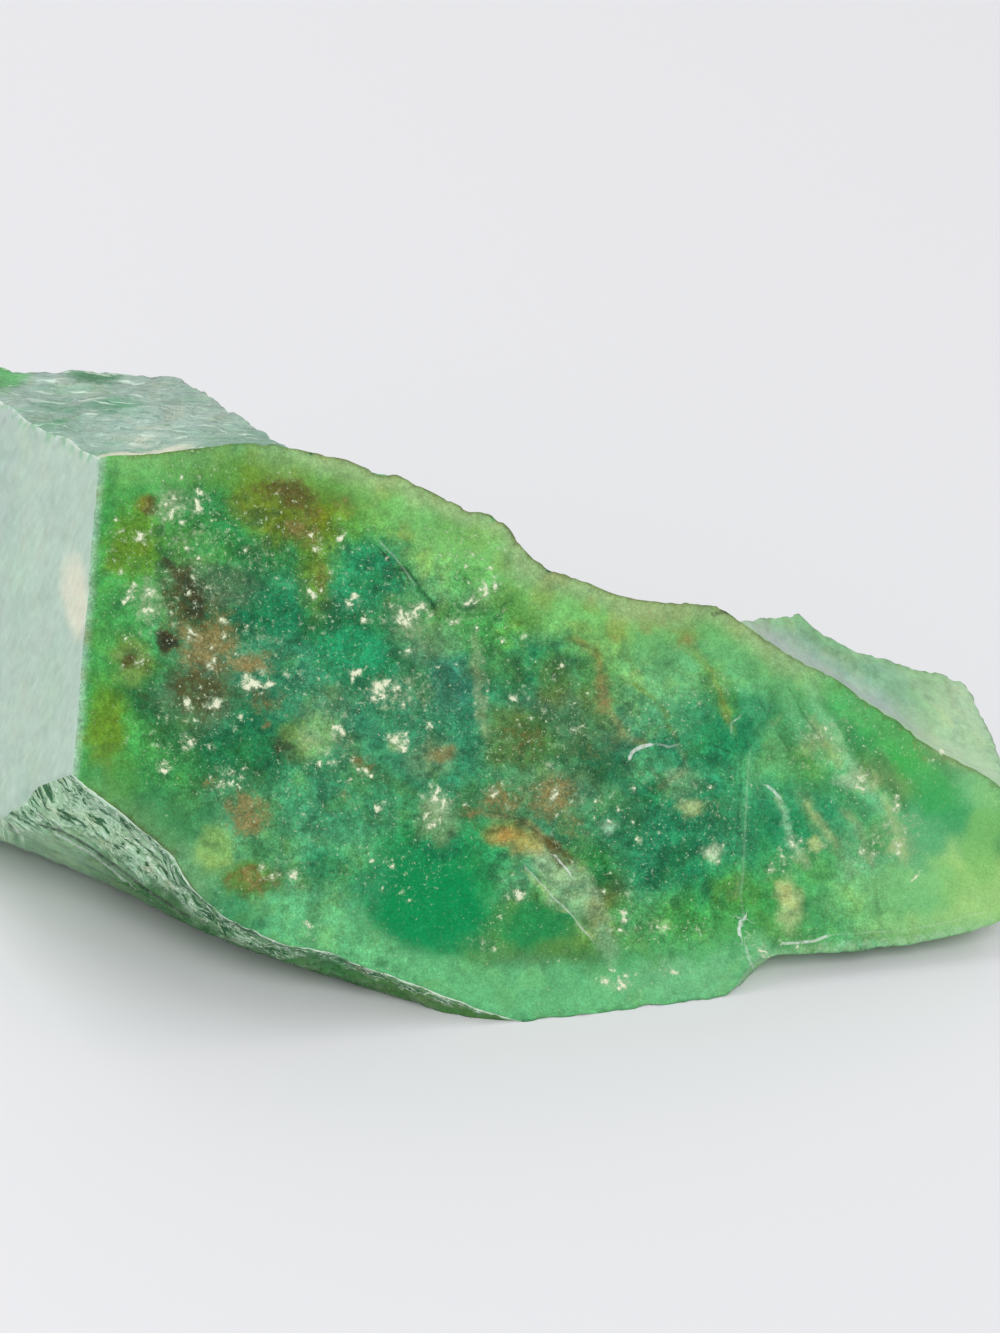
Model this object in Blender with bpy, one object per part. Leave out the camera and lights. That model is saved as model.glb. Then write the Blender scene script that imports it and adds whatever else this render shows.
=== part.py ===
"""Raw chrysoprase: one lump of green chalcedony with two sawn faces and broken sides.

The stone is a single solid. Its outline is a set of named edges, each a short
run of points in millimetres. Every face is filled between the edges that
bound it, then given the low relief that its kind of surface has.
"""

import math

import bmesh
import bpy
import numpy as np
from mathutils import Vector, geometry, noise

MM = 0.001
NODE_NAME = "chrysoprase_stone"

# The sawn front leans back. It rises 1.26 mm for each mm it goes back, and
# drops 0.40 mm for each mm it goes to the right.
FRONT_RISE = 1.26
FRONT_DROP = 0.40

# The sawn left end passes through the heel. It goes 0.576 mm to the left for
# each mm back, and 0.438 mm to the right for each mm up.
HEEL = (-29.7, 1.6, 13.9)
LEFT_TURN = 0.576
LEFT_LEAN = 0.438

# Spacing of the surface points, in mm: coarse where the stone is plain.
FINE = 0.82
MEDIUM = 1.25
COARSE = 1.4
UNDERSIDE = 2.6

# Depth of the relief, in mm.
SAW_WAVE = 0.05
RIPPLE = 0.24
RIDGE = 0.34
UNDERCUT_BULGE = 1.1
DISH = 1.1
HACKLE = 0.30
SHELF_WAVE = 0.18
SHELF_TROUGH = 0.8
LEDGE = 0.9

# The shell-shaped chip in the sawn front: its place as (x, z), its half length,
# its half height, and its depth at the steep left end. It thins out to the right.
CHIP = (4.4, 11.8)
CHIP_LENGTH = 1.7
CHIP_HEIGHT = 1.15
CHIP_DEPTH = 0.26
DETAIL_GAP = 0.4

# Outline of the sawn front as (x, z): the brow, the crest and the slope run
# from the top left corner to the right tip.
BROW = [(-27.1, 28.4), (-24.8, 28.5), (-22.6, 28.6), (-20.6, 28.5)]
PEAK = (-19.2, 28.3)
CREST = [
    (-18.2, 28.0),
    (-16.2, 27.6),
    (-14.4, 26.9),
    (-12.5, 26.5),
    (-11.6, 26.0),
    (-10.2, 25.4),
    (-8.6, 24.7),
    (-6.9, 24.3),
    (-5.9, 23.7),
    (-5.2, 22.9),
    (-4.5, 22.2),
    (-3.1, 21.4),
    (-1.9, 21.1),
    (-0.4, 20.5),
    (0.7, 20.0),
    (2.8, 19.5),
    (5.3, 19.3),
    (7.2, 19.0),
]
SADDLE = (8.7, 18.1)
SLOPE = [
    (10.4, 17.1),
    (12.2, 16.1),
    (14.4, 15.2),
    (17.1, 13.6),
    (19.5, 12.3),
    (21.4, 11.0),
    (24.0, 9.9),
    (25.5, 9.1),
]
TIP = (26.7, 8.2)
TIP_SIDE = [(27.4, 6.4), (27.5, 4.5)]
TIP_FOOT = (27.0, 2.2)

# Lower edge of the front, right to left: a narrow bevel, a notch, the foot
# that touches the table, and the long edge that climbs to the heel.
BEVEL = [(25.4, 2.3), (20.4, 2.3), (15.9, 2.5), (13.2, 2.3)]
BEVEL_FOOT = [(24.8, 1.6), (21.1, 1.3), (17.2, 1.3), (13.0, 1.6)]
BEVEL_SETBACK = 0.35
NOTCH = (11.3, 1.6)
NOTCH_SIDE = [(10.8, 0.9)]
FOOT_RIGHT = (10.1, 0.0)
FOOT = [(8.4, 0.0), (4.7, 0.0), (1.6, 0.0)]
FOOT_LEFT = (-2.2, 0.0)
UNDERCUT = [
    (-5.0, 0.9),
    (-8.1, 2.1),
    (-12.5, 3.7),
    (-14.5, 4.5),
    (-16.6, 4.9),
    (-19.2, 6.0),
    (-20.7, 6.8),
    (-22.5, 8.2),
    (-23.6, 9.7),
    (-24.7, 10.4),
    (-27.1, 12.2),
    (-28.2, 12.8),
]

# Edges of the sawn left end as (y, z).
TOP_LEFT = [(14.8, 27.7), (16.3, 27.4), (18.2, 26.4), (20.5, 25.6), (22.0, 25.4), (23.5, 24.8)]
BACK_LEFT_TOP = (28.8, 23.3)
LEFT_LOW = [(2.9, 12.1), (3.8, 10.8), (5.3, 9.2), (5.9, 8.0)]
LEFT_TOE = (9.4, 3.0)
LEFT_BACK = [(13.5, 9.5), (20.2, 14.6), (26.0, 19.6)]

# Back edge of the top, then its right edge, as (x, y, z).
TOP_BACK = [(-38.3, 28.8, 23.8), (-36.2, 28.9, 23.5), (-33.7, 29.6, 23.6), (-30.7, 29.9, 23.4)]
TOP_CORNER = (-27.2, 29.2, 24.0)
TOP_RIGHT = [(-25.9, 27.6, 24.5), (-23.8, 24.3, 25.4), (-21.7, 20.6, 26.7), (-20.3, 18.3, 27.5)]

# The right shelf: its back ridge, its far corner and its right end.
RIDGE_LINE = [
    (10.2, 19.4, 16.9),
    (12.7, 22.5, 15.2),
    (13.7, 21.6, 14.7),
    (16.5, 22.2, 13.2),
    (20.0, 23.7, 11.1),
    (22.7, 25.2, 9.5),
]
SHELF_CORNER = (24.3, 26.0, 8.5)
SHELF_END = [(25.2, 24.0, 8.2), (25.7, 21.5, 8.3), (26.4, 17.0, 8.5)]

# Points on the table, as (x, y), and the two points where low edges meet it.
FLOOR_UNDERCUT = [
    (-6.4, -0.7),
    (-9.9, 0.4),
    (-13.9, 1.6),
    (-19.1, 3.5),
    (-23.5, 5.4),
    (-26.9, 7.4),
    (-29.6, 9.1),
    (-32.4, 9.9),
    (-35.8, 12.1),
]
FLOOR_TOE = (-39.0, 14.0)
FLOOR_LEFT = [(-38.6, 19.0), (-36.9, 26.5)]
FLOOR_BACK_LEFT = (-36.2, 32.6)
FLOOR_BACK = [(-30.0, 34.9)]
FLOOR_RIB = (-24.4, 36.2)
FLOOR_HOLLOW = [(-19.5, 34.6)]
FLOOR_VALLEY = (-14.5, 34.8)
FLOOR_MIDDLE = [(-6.0, 35.4), (2.5, 33.6)]
FLOOR_SADDLE = (10.0, 32.4)
FLOOR_RIGHT_BACK = [(17.5, 31.8)]
FLOOR_CORNER = (23.4, 29.6)
FLOOR_RIGHT = [(25.2, 23.5)]
FLOOR_RIGHT_FRONT = (24.6, 16.6)
FLOOR_NOTCH = [(18.4, 12.2), (13.0, 8.0)]


def clear_scene():
    """Empty the scene."""
    for old in list(bpy.data.objects):
        bpy.data.objects.remove(old, do_unlink=True)


def on_front(x, z):
    """A point of the sawn front from its x and z."""
    return (x, (z + FRONT_DROP * x) / FRONT_RISE, z)


def on_left(y, z):
    """A point of the sawn left end from its y and z."""
    x = HEEL[0] - LEFT_TURN * (y - HEEL[1]) + LEFT_LEAN * (z - HEEL[2])
    return (x, y, z)


def front_left_corner(z):
    """The point at height z on the edge between the two sawn faces."""
    turn = LEFT_TURN / FRONT_RISE
    start = HEEL[0] + LEFT_TURN * HEEL[1] + LEFT_LEAN * (z - HEEL[2])
    x = (start - turn * z) / (1.0 + turn * FRONT_DROP)
    return on_front(x, z)


def on_floor(points):
    """Points of the table from their x and y."""
    return [(x, y, 0.0) for x, y in points]


def bevel_foot_points():
    """The bevel's lower edge, set back under the front."""
    points = [on_front(x, z) for x, z in BEVEL_FOOT]
    return [(x, y + BEVEL_SETBACK, z) for x, y, z in points]


def outline_edges():
    """Every edge of the stone: name, points from corner to corner, spacing, wobble."""
    shoulder = front_left_corner(28.5)
    heel = front_left_corner(HEEL[2])
    peak = on_front(*PEAK)
    saddle = on_front(*SADDLE)
    tip = on_front(*TIP)
    tip_foot = on_front(*TIP_FOOT)
    notch = on_front(*NOTCH)
    foot_right = on_front(*FOOT_RIGHT)
    foot_left = on_front(*FOOT_LEFT)
    back_left = on_left(*BACK_LEFT_TOP)
    left_toe = on_left(*LEFT_TOE)
    toe, floor_back_left, rib, valley = on_floor([FLOOR_TOE, FLOOR_BACK_LEFT, FLOOR_RIB, FLOOR_VALLEY])
    floor_saddle, corner, right_front = on_floor([FLOOR_SADDLE, FLOOR_CORNER, FLOOR_RIGHT_FRONT])
    front = {
        "brow": [shoulder, *[on_front(x, z) for x, z in BROW], peak],
        "crest": [peak, *[on_front(x, z) for x, z in CREST], saddle],
        "slope": [saddle, *[on_front(x, z) for x, z in SLOPE], tip],
        "tip": [tip, *[on_front(x, z) for x, z in TIP_SIDE], tip_foot],
        "bevel": [tip_foot, *[on_front(x, z) for x, z in BEVEL], notch],
        "bevel_foot": [tip_foot, *bevel_foot_points(), notch],
        "notch": [notch, *[on_front(x, z) for x, z in NOTCH_SIDE], foot_right],
        "foot": [foot_right, *[on_front(x, z) for x, z in FOOT], foot_left],
        "undercut": [foot_left, *[on_front(x, z) for x, z in UNDERCUT], heel],
    }
    left = {
        "front_left": [heel, front_left_corner(21.0), shoulder],
        "top_left": [shoulder, *[on_left(y, z) for y, z in TOP_LEFT], back_left],
        "left_low": [heel, *[on_left(y, z) for y, z in LEFT_LOW], left_toe],
        "left_back": [left_toe, *[on_left(y, z) for y, z in LEFT_BACK], back_left],
    }
    upper = {
        "top_back": [back_left, *TOP_BACK, TOP_CORNER],
        "top_right": [TOP_CORNER, *TOP_RIGHT, peak],
        "ridge": [saddle, *RIDGE_LINE, SHELF_CORNER],
        "shelf_end": [SHELF_CORNER, *SHELF_END, tip],
    }
    fall = {
        "toe": [left_toe, toe],
        "back_left_fall": [back_left, (-40.6, 32.2, 12.0), floor_back_left],
        "rib_fall": [TOP_CORNER, (-25.6, 33.6, 12.5), rib],
        "valley_fall": [peak, (-17.6, 26.4, 15.0), valley],
        "saddle_fall": [saddle, (9.6, 25.2, 9.6), floor_saddle],
        "corner_fall": [SHELF_CORNER, corner],
        "tip_fall": [tip_foot, right_front],
    }
    floor = {
        "floor_undercut": [foot_left, *on_floor(FLOOR_UNDERCUT), toe],
        "floor_left": [toe, *on_floor(FLOOR_LEFT), floor_back_left],
        "floor_back": [floor_back_left, *on_floor(FLOOR_BACK), rib],
        "floor_hollow": [rib, *on_floor(FLOOR_HOLLOW), valley],
        "floor_middle": [valley, *on_floor(FLOOR_MIDDLE), floor_saddle],
        "floor_right_back": [floor_saddle, *on_floor(FLOOR_RIGHT_BACK), corner],
        "floor_right": [corner, *on_floor(FLOOR_RIGHT), right_front],
        "floor_notch": [right_front, *on_floor(FLOOR_NOTCH), foot_right],
    }
    settings = [(front, MEDIUM, 0.03), (left, MEDIUM, 0.05), (upper, MEDIUM, 0.10)]
    settings += [(fall, COARSE, 0.30), (floor, COARSE, 0.22)]
    return settings


def spaced(points, gap):
    """The same run of points with long stretches divided so no step passes gap."""
    result = [np.array(points[0], float)]
    for start, end in zip(points, points[1:]):
        start = np.array(start, float)
        end = np.array(end, float)
        steps = max(1, math.ceil(np.linalg.norm(end - start) / gap - 0.25))
        for step in range(1, steps + 1):
            result.append(start + (end - start) * step / steps)
    return result


def wobble(point, size, keep_height):
    """Move a point by smooth noise, and only sideways where it lies on the table."""
    place = Vector(point) * 0.45
    shift = np.array([noise.noise(place + Vector((31.7 * i, 5.3, -12.1 * i))) for i in range(3)]) * size
    if keep_height:
        shift[2] = 0.0
    return point + shift


class Outline:
    """The stone's edges, with each shared point stored once."""

    def __init__(self):
        self.points = []
        self.index = {}
        self.runs = {}

    def add_point(self, point):
        key = tuple(np.round(point, 4))
        if key not in self.index:
            self.index[key] = len(self.points)
            self.points.append(np.array(point, float))
        return self.index[key]

    def add_edge(self, name, points, gap, size):
        run = spaced(points, gap)
        flat = all(point[2] == 0.0 for point in run)
        inner = [wobble(point, size, flat) for point in run[1:-1]]
        run = [run[0], *inner, run[-1]]
        self.runs[name] = [self.add_point(point) for point in run]

    def loop(self, names):
        """Join the named edges end to end into one closed loop of point numbers."""
        runs = [list(self.runs[name]) for name in names]
        if runs[0][-1] not in (runs[1][0], runs[1][-1]):
            runs[0].reverse()
        loop = runs[0][:-1]
        last = runs[0][-1]
        for run in runs[1:]:
            if run[0] != last:
                run.reverse()
            loop += run[:-1]
            last = run[-1]
        return loop


def best_plane(points):
    """The centre of a loop of points, and two axes in its mean plane with the plane's normal."""
    centre = points.mean(axis=0)
    around = points - centre
    normal = np.cross(around, np.roll(around, -1, axis=0)).sum(axis=0)
    normal /= np.linalg.norm(normal)
    start = np.array((0.0, 1.0, 0.0) if abs(normal[0]) > 0.8 else (1.0, 0.0, 0.0))
    across = start - (start @ normal) * normal
    across /= np.linalg.norm(across)
    return centre, np.array([across, np.cross(normal, across), normal])


def inside(loop, points):
    """Which points lie within a closed flat loop."""
    result = np.zeros(len(points), bool)
    ahead = np.roll(loop, -1, axis=0)
    for a, b in zip(loop, ahead):
        crosses = (a[1] > points[:, 1]) != (b[1] > points[:, 1])
        rise = b[1] - a[1]
        if abs(rise) < 1e-12:
            continue
        side = points[:, 0] < (b[0] - a[0]) * (points[:, 1] - a[1]) / rise + a[0]
        result ^= crosses & side
    return result


def distance_to_run(run, points, closed):
    """Shortest distance from each point to a run of straight stretches."""
    run = np.asarray(run)
    ends = np.roll(run, -1, axis=0) if closed else run[1:]
    starts = run if closed else run[:-1]
    nearest = np.full(len(points), np.inf)
    for a, b in zip(starts, ends):
        along = b - a
        length = float(along @ along) or 1e-12
        part = np.clip((points - a) @ along / length, 0.0, 1.0)
        gap = np.linalg.norm(points - a - part[:, None] * along, axis=1)
        nearest = np.minimum(nearest, gap)
    return nearest


def scattered(loop, gap, seed):
    """Points in a slightly uneven triangular pattern inside a flat loop."""
    low = loop.min(axis=0)
    high = loop.max(axis=0)
    rng = np.random.RandomState(seed)
    rows = np.arange(low[1], high[1], gap * 0.866)
    pattern = []
    for number, y in enumerate(rows):
        xs = np.arange(low[0] + (number % 2) * gap / 2, high[0], gap)
        pattern += [(x, y) for x in xs]
    pattern = np.array(pattern) + rng.uniform(-0.16, 0.16, (len(pattern), 2)) * gap
    pattern = pattern[inside(loop, pattern)]
    return pattern[distance_to_run(loop, pattern, True) > gap * 0.55]


def detail_points(centre, axes):
    """Closely spaced points around the front's chip, in the face's own plane."""
    spots = [np.array(on_front(*CHIP))]
    for ring, count in ((0.35, 6), (0.65, 11), (0.88, 16), (1.02, 20)):
        for step in range(count):
            turn = 2.0 * math.pi * step / count
            x = CHIP[0] + CHIP_LENGTH * ring * math.cos(turn)
            z = CHIP[1] + CHIP_HEIGHT * ring * math.sin(turn)
            spots.append(np.array(on_front(x, z)))
    return (np.array(spots) - centre) @ axes[:2].T


def with_details(extra, details):
    """The scattered points with the detail points in place of those close to them."""
    gaps = np.linalg.norm(extra[:, None, :] - details[None, :, :], axis=2).min(axis=1)
    return np.vstack([extra[gaps > DETAIL_GAP], details])


def settle(heights, fixed, triangles):
    """Spread the border's heights smoothly over the points inside it."""
    count = len(heights)
    links = [set() for _ in range(count)]
    for a, b, c in triangles:
        links[a] |= {b, c}
        links[b] |= {a, c}
        links[c] |= {a, b}
    links = [list(link) for link in links]
    for _ in range(220):
        heights = [
            heights[i] if i < fixed or not links[i] else sum(heights[j] for j in links[i]) / len(links[i])
            for i in range(count)
        ]
    return np.array(heights)


def fade(distance, width):
    """0 on an edge, 1 from width inwards, smooth between."""
    t = np.clip(distance / width, 0.0, 1.0)
    return t * t * (3.0 - 2.0 * t)


def rough(point, scale, seed):
    """Layered noise between about -1 and 1."""
    place = Vector(point) * scale + Vector((seed, -seed, 2.0 * seed))
    return noise.fractal(place, 1.0, 2.0, 4)


def relief_sawn(points, outline):
    """A saw cut: nearly flat, with a long faint wave."""
    return np.array([SAW_WAVE * rough(p, 0.16, 3.0) for p in points])


def relief_front(points, outline):
    """The sawn front: a saw cut with one shell-shaped chip."""
    heights = relief_sawn(points, outline)
    along = (points[:, 0] - CHIP[0]) / CHIP_LENGTH
    up = (points[:, 2] - CHIP[1]) / CHIP_HEIGHT
    inner = np.clip(1.0 - along**2 - up**2, 0.0, 1.0) ** 0.6
    return heights - CHIP_DEPTH * inner * np.clip(0.55 - 0.45 * along, 0.1, 1.0)


def relief_rippled(points, outline):
    """The top: low ripples that run along the brow, over a slight swell."""
    behind = distance_to_run([outline.points[i] for i in outline.runs["brow"]], points, False)
    result = []
    for point, gap in zip(points, behind):
        bend = 1.1 * noise.noise(Vector(point) * 0.21)
        wave = math.sin(2.0 * math.pi * (gap / 2.7 + bend))
        result.append(RIPPLE * wave + 0.55 * rough(point, 0.13, 7.0))
    return np.array(result)


def relief_ridged(points, outline):
    """The undercut face: sharp ridges above, one groove, and a smooth band below."""
    upper = distance_to_run([outline.points[i] for i in outline.runs["undercut"]], points, False)
    lower = distance_to_run([outline.points[i] for i in outline.runs["floor_undercut"]], points, False)
    result = []
    for point, a, b in zip(points, upper, lower):
        share = a / (a + b)
        swell = UNDERCUT_BULGE * math.sin(math.pi * share) * min(1.0, (a + b) / 9.0)
        bend = 0.9 * noise.noise(Vector(point) * 0.33)
        ridges = RIDGE * (1.0 - 2.0 * abs(math.sin(math.pi * (a / 2.3 + bend))))
        ridges *= max(0.0, 1.0 - share / 0.72)
        groove = -0.5 * math.exp(-(((share - 0.68) / 0.07) ** 2))
        result.append(swell + ridges + groove)
    return np.array(result)


def broken(depth, hackle, seed):
    """A broken face: one broad shell-like hollow, its rings, and small hackles."""

    def relief(points, outline):
        centre = points.mean(axis=0)
        reach = np.linalg.norm(points - centre, axis=1).max()
        origin = centre + reach * np.array([math.cos(seed), 0.35 * math.sin(seed), 0.8])
        result = []
        for point in points:
            far = np.linalg.norm(point - origin)
            rings = math.sin(far * 0.85 + 2.0 * noise.noise(Vector(point) * 0.1))
            hollow = 1.0 - (np.linalg.norm(point - centre) / reach) ** 2
            step = fade(rough(point, 0.085, seed + 20.0) + 0.06, 0.14)
            rise = -depth * hollow + 0.2 * rings + hackle * rough(point, 0.24, seed)
            result.append(rise - LEDGE * depth * float(step))
        return np.array(result)

    return relief


def relief_shelf(points, outline):
    """The right shelf: a trough behind the crest, and a shallow swell."""
    behind = distance_to_run([outline.points[i] for i in outline.runs["slope"]], points, False)
    trough = -SHELF_TROUGH * np.exp(-(((behind - 2.4) / 1.5) ** 2))
    return trough + np.array([SHELF_WAVE * rough(p, 0.22, 5.0) for p in points])


def relief_flat(points, outline):
    """The underside stays flat, so the stone stands on it."""
    return np.zeros(len(points))


def face_plan():
    """Each face: its edges in order, a point outside it, spacing, relief, and edge width."""
    front = ["front_left", "brow", "crest", "slope", "tip", "bevel", "notch", "foot", "undercut"]
    under = ["foot", "floor_undercut", "floor_left", "floor_back", "floor_hollow"]
    under += ["floor_middle", "floor_right_back", "floor_right", "floor_notch"]
    return [
        (front, (0, -1, 1), MEDIUM, relief_front, 2.0),
        (["front_left", "top_left", "left_back", "left_low"], (-1, 0, 0), MEDIUM, relief_sawn, 2.0),
        (["brow", "top_right", "top_back", "top_left"], (0, 0, 1), FINE, relief_rippled, 1.6),
        (["undercut", "floor_undercut", "toe", "left_low"], (-1, -2, -1), FINE, relief_ridged, 0.8),
        (["left_back", "back_left_fall", "floor_left", "toe"], (-1, 0, 0), COARSE, broken(1.3, HACKLE, 1.0), 2.5),
        (["top_back", "rib_fall", "floor_back", "back_left_fall"], (0, 1, 0), COARSE, broken(DISH, HACKLE, 2.0), 2.5),
        (["top_right", "valley_fall", "floor_hollow", "rib_fall"], (1, 1, 0), COARSE, broken(0.7, HACKLE, 4.0), 2.5),
        (["crest", "saddle_fall", "floor_middle", "valley_fall"], (0, 1, 0), COARSE, broken(DISH, HACKLE, 6.0), 2.5),
        (["slope", "shelf_end", "ridge"], (0, 0, 1), MEDIUM, relief_shelf, 1.5),
        (["ridge", "corner_fall", "floor_right_back", "saddle_fall"], (0, 1, 0), COARSE, broken(0.8, HACKLE, 9.0), 2.5),
        (["shelf_end", "tip", "tip_fall", "floor_right", "corner_fall"], (1, 0, 0), MEDIUM, broken(0.4, 0.15, 11.0), 1.5),
        (["bevel", "bevel_foot"], (0, -1, 0), MEDIUM, relief_flat, 1.0),
        (["bevel_foot", "notch", "floor_notch", "tip_fall"], (0, 0, -1), MEDIUM, broken(0.3, 0.15, 13.0), 1.5),
        (under, (0, 0, -1), UNDERSIDE, relief_flat, 1.0),
    ]


def fill_face(outline, edges, outward, gap, relief, width, seed):
    """Fill one face with triangles and give it its relief."""
    loop = outline.loop(edges)
    border = np.array([outline.points[i] for i in loop])
    centre, axes = best_plane(border)
    flat_border = (border - centre) @ axes[:2].T
    extra = scattered(flat_border, gap, seed)
    if relief is relief_front:
        extra = with_details(extra, detail_points(centre, axes))
    flat = [Vector(p) for p in np.vstack([flat_border, extra])]
    ring = [list(range(len(loop)))]
    verts, _, faces, origins, _, _ = geometry.delaunay_2d_cdt(flat, [], ring, 1, 1e-7)
    if len(verts) != len(flat):
        raise ValueError(f"the outline of {edges} crosses itself")
    order = [ids[0] for ids in origins]
    triangles = [[order[i] for i in face] for face in faces]
    heights = np.concatenate([(border - centre) @ axes[2], np.zeros(len(extra))])
    heights = settle(list(heights), len(loop), triangles)
    inner = centre + extra @ axes[:2] + heights[len(loop):, None] * axes[2]
    normal = axes[2] if axes[2] @ np.array(outward, float) > 0 else -axes[2]
    depth = relief(inner, outline) * fade(distance_to_run(border, inner, True), width)
    inner = inner + depth[:, None] * normal
    numbers = loop + [outline.add_point(point) for point in inner]
    return [[numbers[i] for i in triangle] for triangle in triangles], normal


def facing(points, triangle, normal):
    """The triangle wound so that it faces along normal."""
    a, b, c = (points[i] for i in triangle)
    if np.cross(b - a, c - a) @ normal < 0:
        return triangle[::-1]
    return triangle


def stone_material():
    """Green chalcedony with a waxy shine."""
    material = bpy.data.materials.new("chrysoprase")
    material.use_nodes = True
    shader = material.node_tree.nodes["Principled BSDF"]
    shader.inputs["Base Color"].default_value = (0.045, 0.33, 0.17, 1.0)
    shader.inputs["Roughness"].default_value = 0.32
    shader.inputs["Metallic"].default_value = 0.0
    return material


def build_stone():
    """Make the whole stone and stand it with its box's bottom centre at the origin."""
    outline = Outline()
    for edges, gap, size in outline_edges():
        for name, points in edges.items():
            outline.add_edge(name, points, gap, size)
    triangles = []
    for seed, (edges, outward, gap, relief, width) in enumerate(face_plan()):
        face, normal = fill_face(outline, edges, outward, gap, relief, width, seed)
        triangles += [facing(outline.points, triangle, normal) for triangle in face]
    points = np.array(outline.points)
    low = points.min(axis=0)
    high = points.max(axis=0)
    points -= [(low[0] + high[0]) / 2, (low[1] + high[1]) / 2, low[2]]
    mesh = bpy.data.meshes.new(NODE_NAME)
    mesh.from_pydata([tuple(p) for p in points * MM], [], triangles)
    shape = bmesh.new()
    shape.from_mesh(mesh)
    bmesh.ops.recalc_face_normals(shape, faces=shape.faces)
    shape.to_mesh(mesh)
    shape.free()
    mesh.materials.append(stone_material())
    stone = bpy.data.objects.new(NODE_NAME, mesh)
    bpy.context.scene.collection.objects.link(stone)
    print(NODE_NAME, len(mesh.polygons), "triangles, size in mm", np.round(high - low, 1))
    return stone


clear_scene()
build_stone()
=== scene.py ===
# %% [markdown]
# # Raw chrysoprase
#
# Chrysoprase is a green chalcedony. Its colour comes from traces of nickel, and
# the rough stone is cloudy and lets a little light in at its thin edges. This
# lump was sawn on two sides and broken on all the others. The file dresses the
# packed solid: it makes the surface finer, marks the minerals that show in it,
# gives it a waxy finish, and sets it on a plain floor.
#
# The first step loads the packed solid.

# %% Load the packed solid
import math

import bmesh
import bpy
import numpy as np
from mathutils import Matrix, Vector, kdtree, noise


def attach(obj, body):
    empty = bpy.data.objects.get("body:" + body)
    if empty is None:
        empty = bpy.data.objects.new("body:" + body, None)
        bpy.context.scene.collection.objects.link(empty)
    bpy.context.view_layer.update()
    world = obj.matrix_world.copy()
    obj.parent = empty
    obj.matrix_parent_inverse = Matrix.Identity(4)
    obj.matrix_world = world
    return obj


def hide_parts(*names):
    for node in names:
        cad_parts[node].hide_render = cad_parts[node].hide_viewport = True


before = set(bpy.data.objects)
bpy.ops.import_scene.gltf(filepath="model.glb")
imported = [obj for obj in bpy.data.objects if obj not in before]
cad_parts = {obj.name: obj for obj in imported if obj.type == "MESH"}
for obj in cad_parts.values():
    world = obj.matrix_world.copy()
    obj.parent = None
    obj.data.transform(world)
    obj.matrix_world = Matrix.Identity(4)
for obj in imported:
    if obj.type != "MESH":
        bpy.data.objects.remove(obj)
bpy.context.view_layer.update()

NODE = "chrysoprase_stone"
MM = 0.001

# %% [markdown]
# ## The camera
#
# The stone is seen from 37 degrees above, close up, with the camera rolled a
# little. Its place is worked out from the front foot, the point where the sawn
# front meets the table. The camera comes first because the marks on the stone
# are placed by where they are seen: so many millimetres right of the foot, and
# so many above it, on a card held upright to the lens at the foot.

# %% Place the camera
FOOT = np.array((6.884, -17.412, 0.0))
ELEVATION = math.radians(37.0)
ROLL = math.radians(5.4)
LENS = 100.0
SENSOR_HEIGHT = 36.0
IMAGE = (1000, 1333)
FOOT_PIXEL = (560, 1018)
MM_PER_PIXEL = 0.06


def camera_axes():
    """Forward, right and up of the rolled camera."""
    forward = np.array((0.0, math.cos(ELEVATION), -math.sin(ELEVATION)))
    level_up = np.array((0.0, math.sin(ELEVATION), math.cos(ELEVATION)))
    level_right = np.array((1.0, 0.0, 0.0))
    right = math.cos(ROLL) * level_right + math.sin(ROLL) * level_up
    up = -math.sin(ROLL) * level_right + math.cos(ROLL) * level_up
    return forward, right, up


def camera_place():
    """Where the lens stands, so that the foot lands on its pixel at the right size."""
    forward, right, up = camera_axes()
    focal_pixels = LENS / SENSOR_HEIGHT * IMAGE[1]
    side = FOOT_PIXEL[0] - IMAGE[0] / 2
    drop = FOOT_PIXEL[1] - IMAGE[1] / 2
    ray = forward * focal_pixels + right * side - up * drop
    return FOOT - ray * MM_PER_PIXEL


def add_camera():
    """The camera, at the stone's own viewing angle."""
    forward, right, up = camera_axes()
    data = bpy.data.cameras.new("camera")
    data.lens = LENS
    data.sensor_fit = "VERTICAL"
    data.sensor_height = SENSOR_HEIGHT
    data.clip_start = 0.01
    camera = bpy.data.objects.new("camera", data)
    bpy.context.scene.collection.objects.link(camera)
    turn = Matrix((right, up, -forward)).transposed().to_4x4()
    camera.matrix_world = Matrix.Translation(camera_place() * MM) @ turn
    bpy.context.scene.camera = camera
    return camera


camera = add_camera()
print("camera at", [round(value / MM, 1) for value in camera.matrix_world.translation], "mm")

# %% [markdown]
# ## A surface that can be worked
#
# The packed mesh is loose triangles, because every triangle keeps its own
# corners. A copy is welded first, so that neighbours share their points and the
# surface can be subdivided and painted.

# %% Weld a copy of the solid
WELD_GAP = 0.000002


def welded_copy(node):
    """A copy of a node's mesh with its doubled points merged."""
    mesh = bpy.data.meshes.new("stone")
    shape = bmesh.new()
    shape.from_mesh(node.data)
    bmesh.ops.remove_doubles(shape, verts=shape.verts, dist=WELD_GAP)
    shape.to_mesh(mesh)
    shape.free()
    return mesh


coarse = welded_copy(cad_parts[NODE])
print("welded:", len(coarse.vertices), "points,", len(coarse.polygons), "triangles")

# %% [markdown]
# ## Kinds of surface
#
# A saw leaves a flat face. A break leaves shells, ripples or ridges. Each kind
# needs its own relief and finish, so each triangle is told which kind it is,
# from its direction and its place. The border between two kinds is a real edge
# of the stone, and it is creased to stay crisp when the mesh is subdivided.

# %% Planes and limits of each kind of surface, in mm
def unit(x, y, z):
    """A direction as an array of length 1."""
    return np.array((x, y, z)) / math.hypot(x, y, z)


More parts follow.
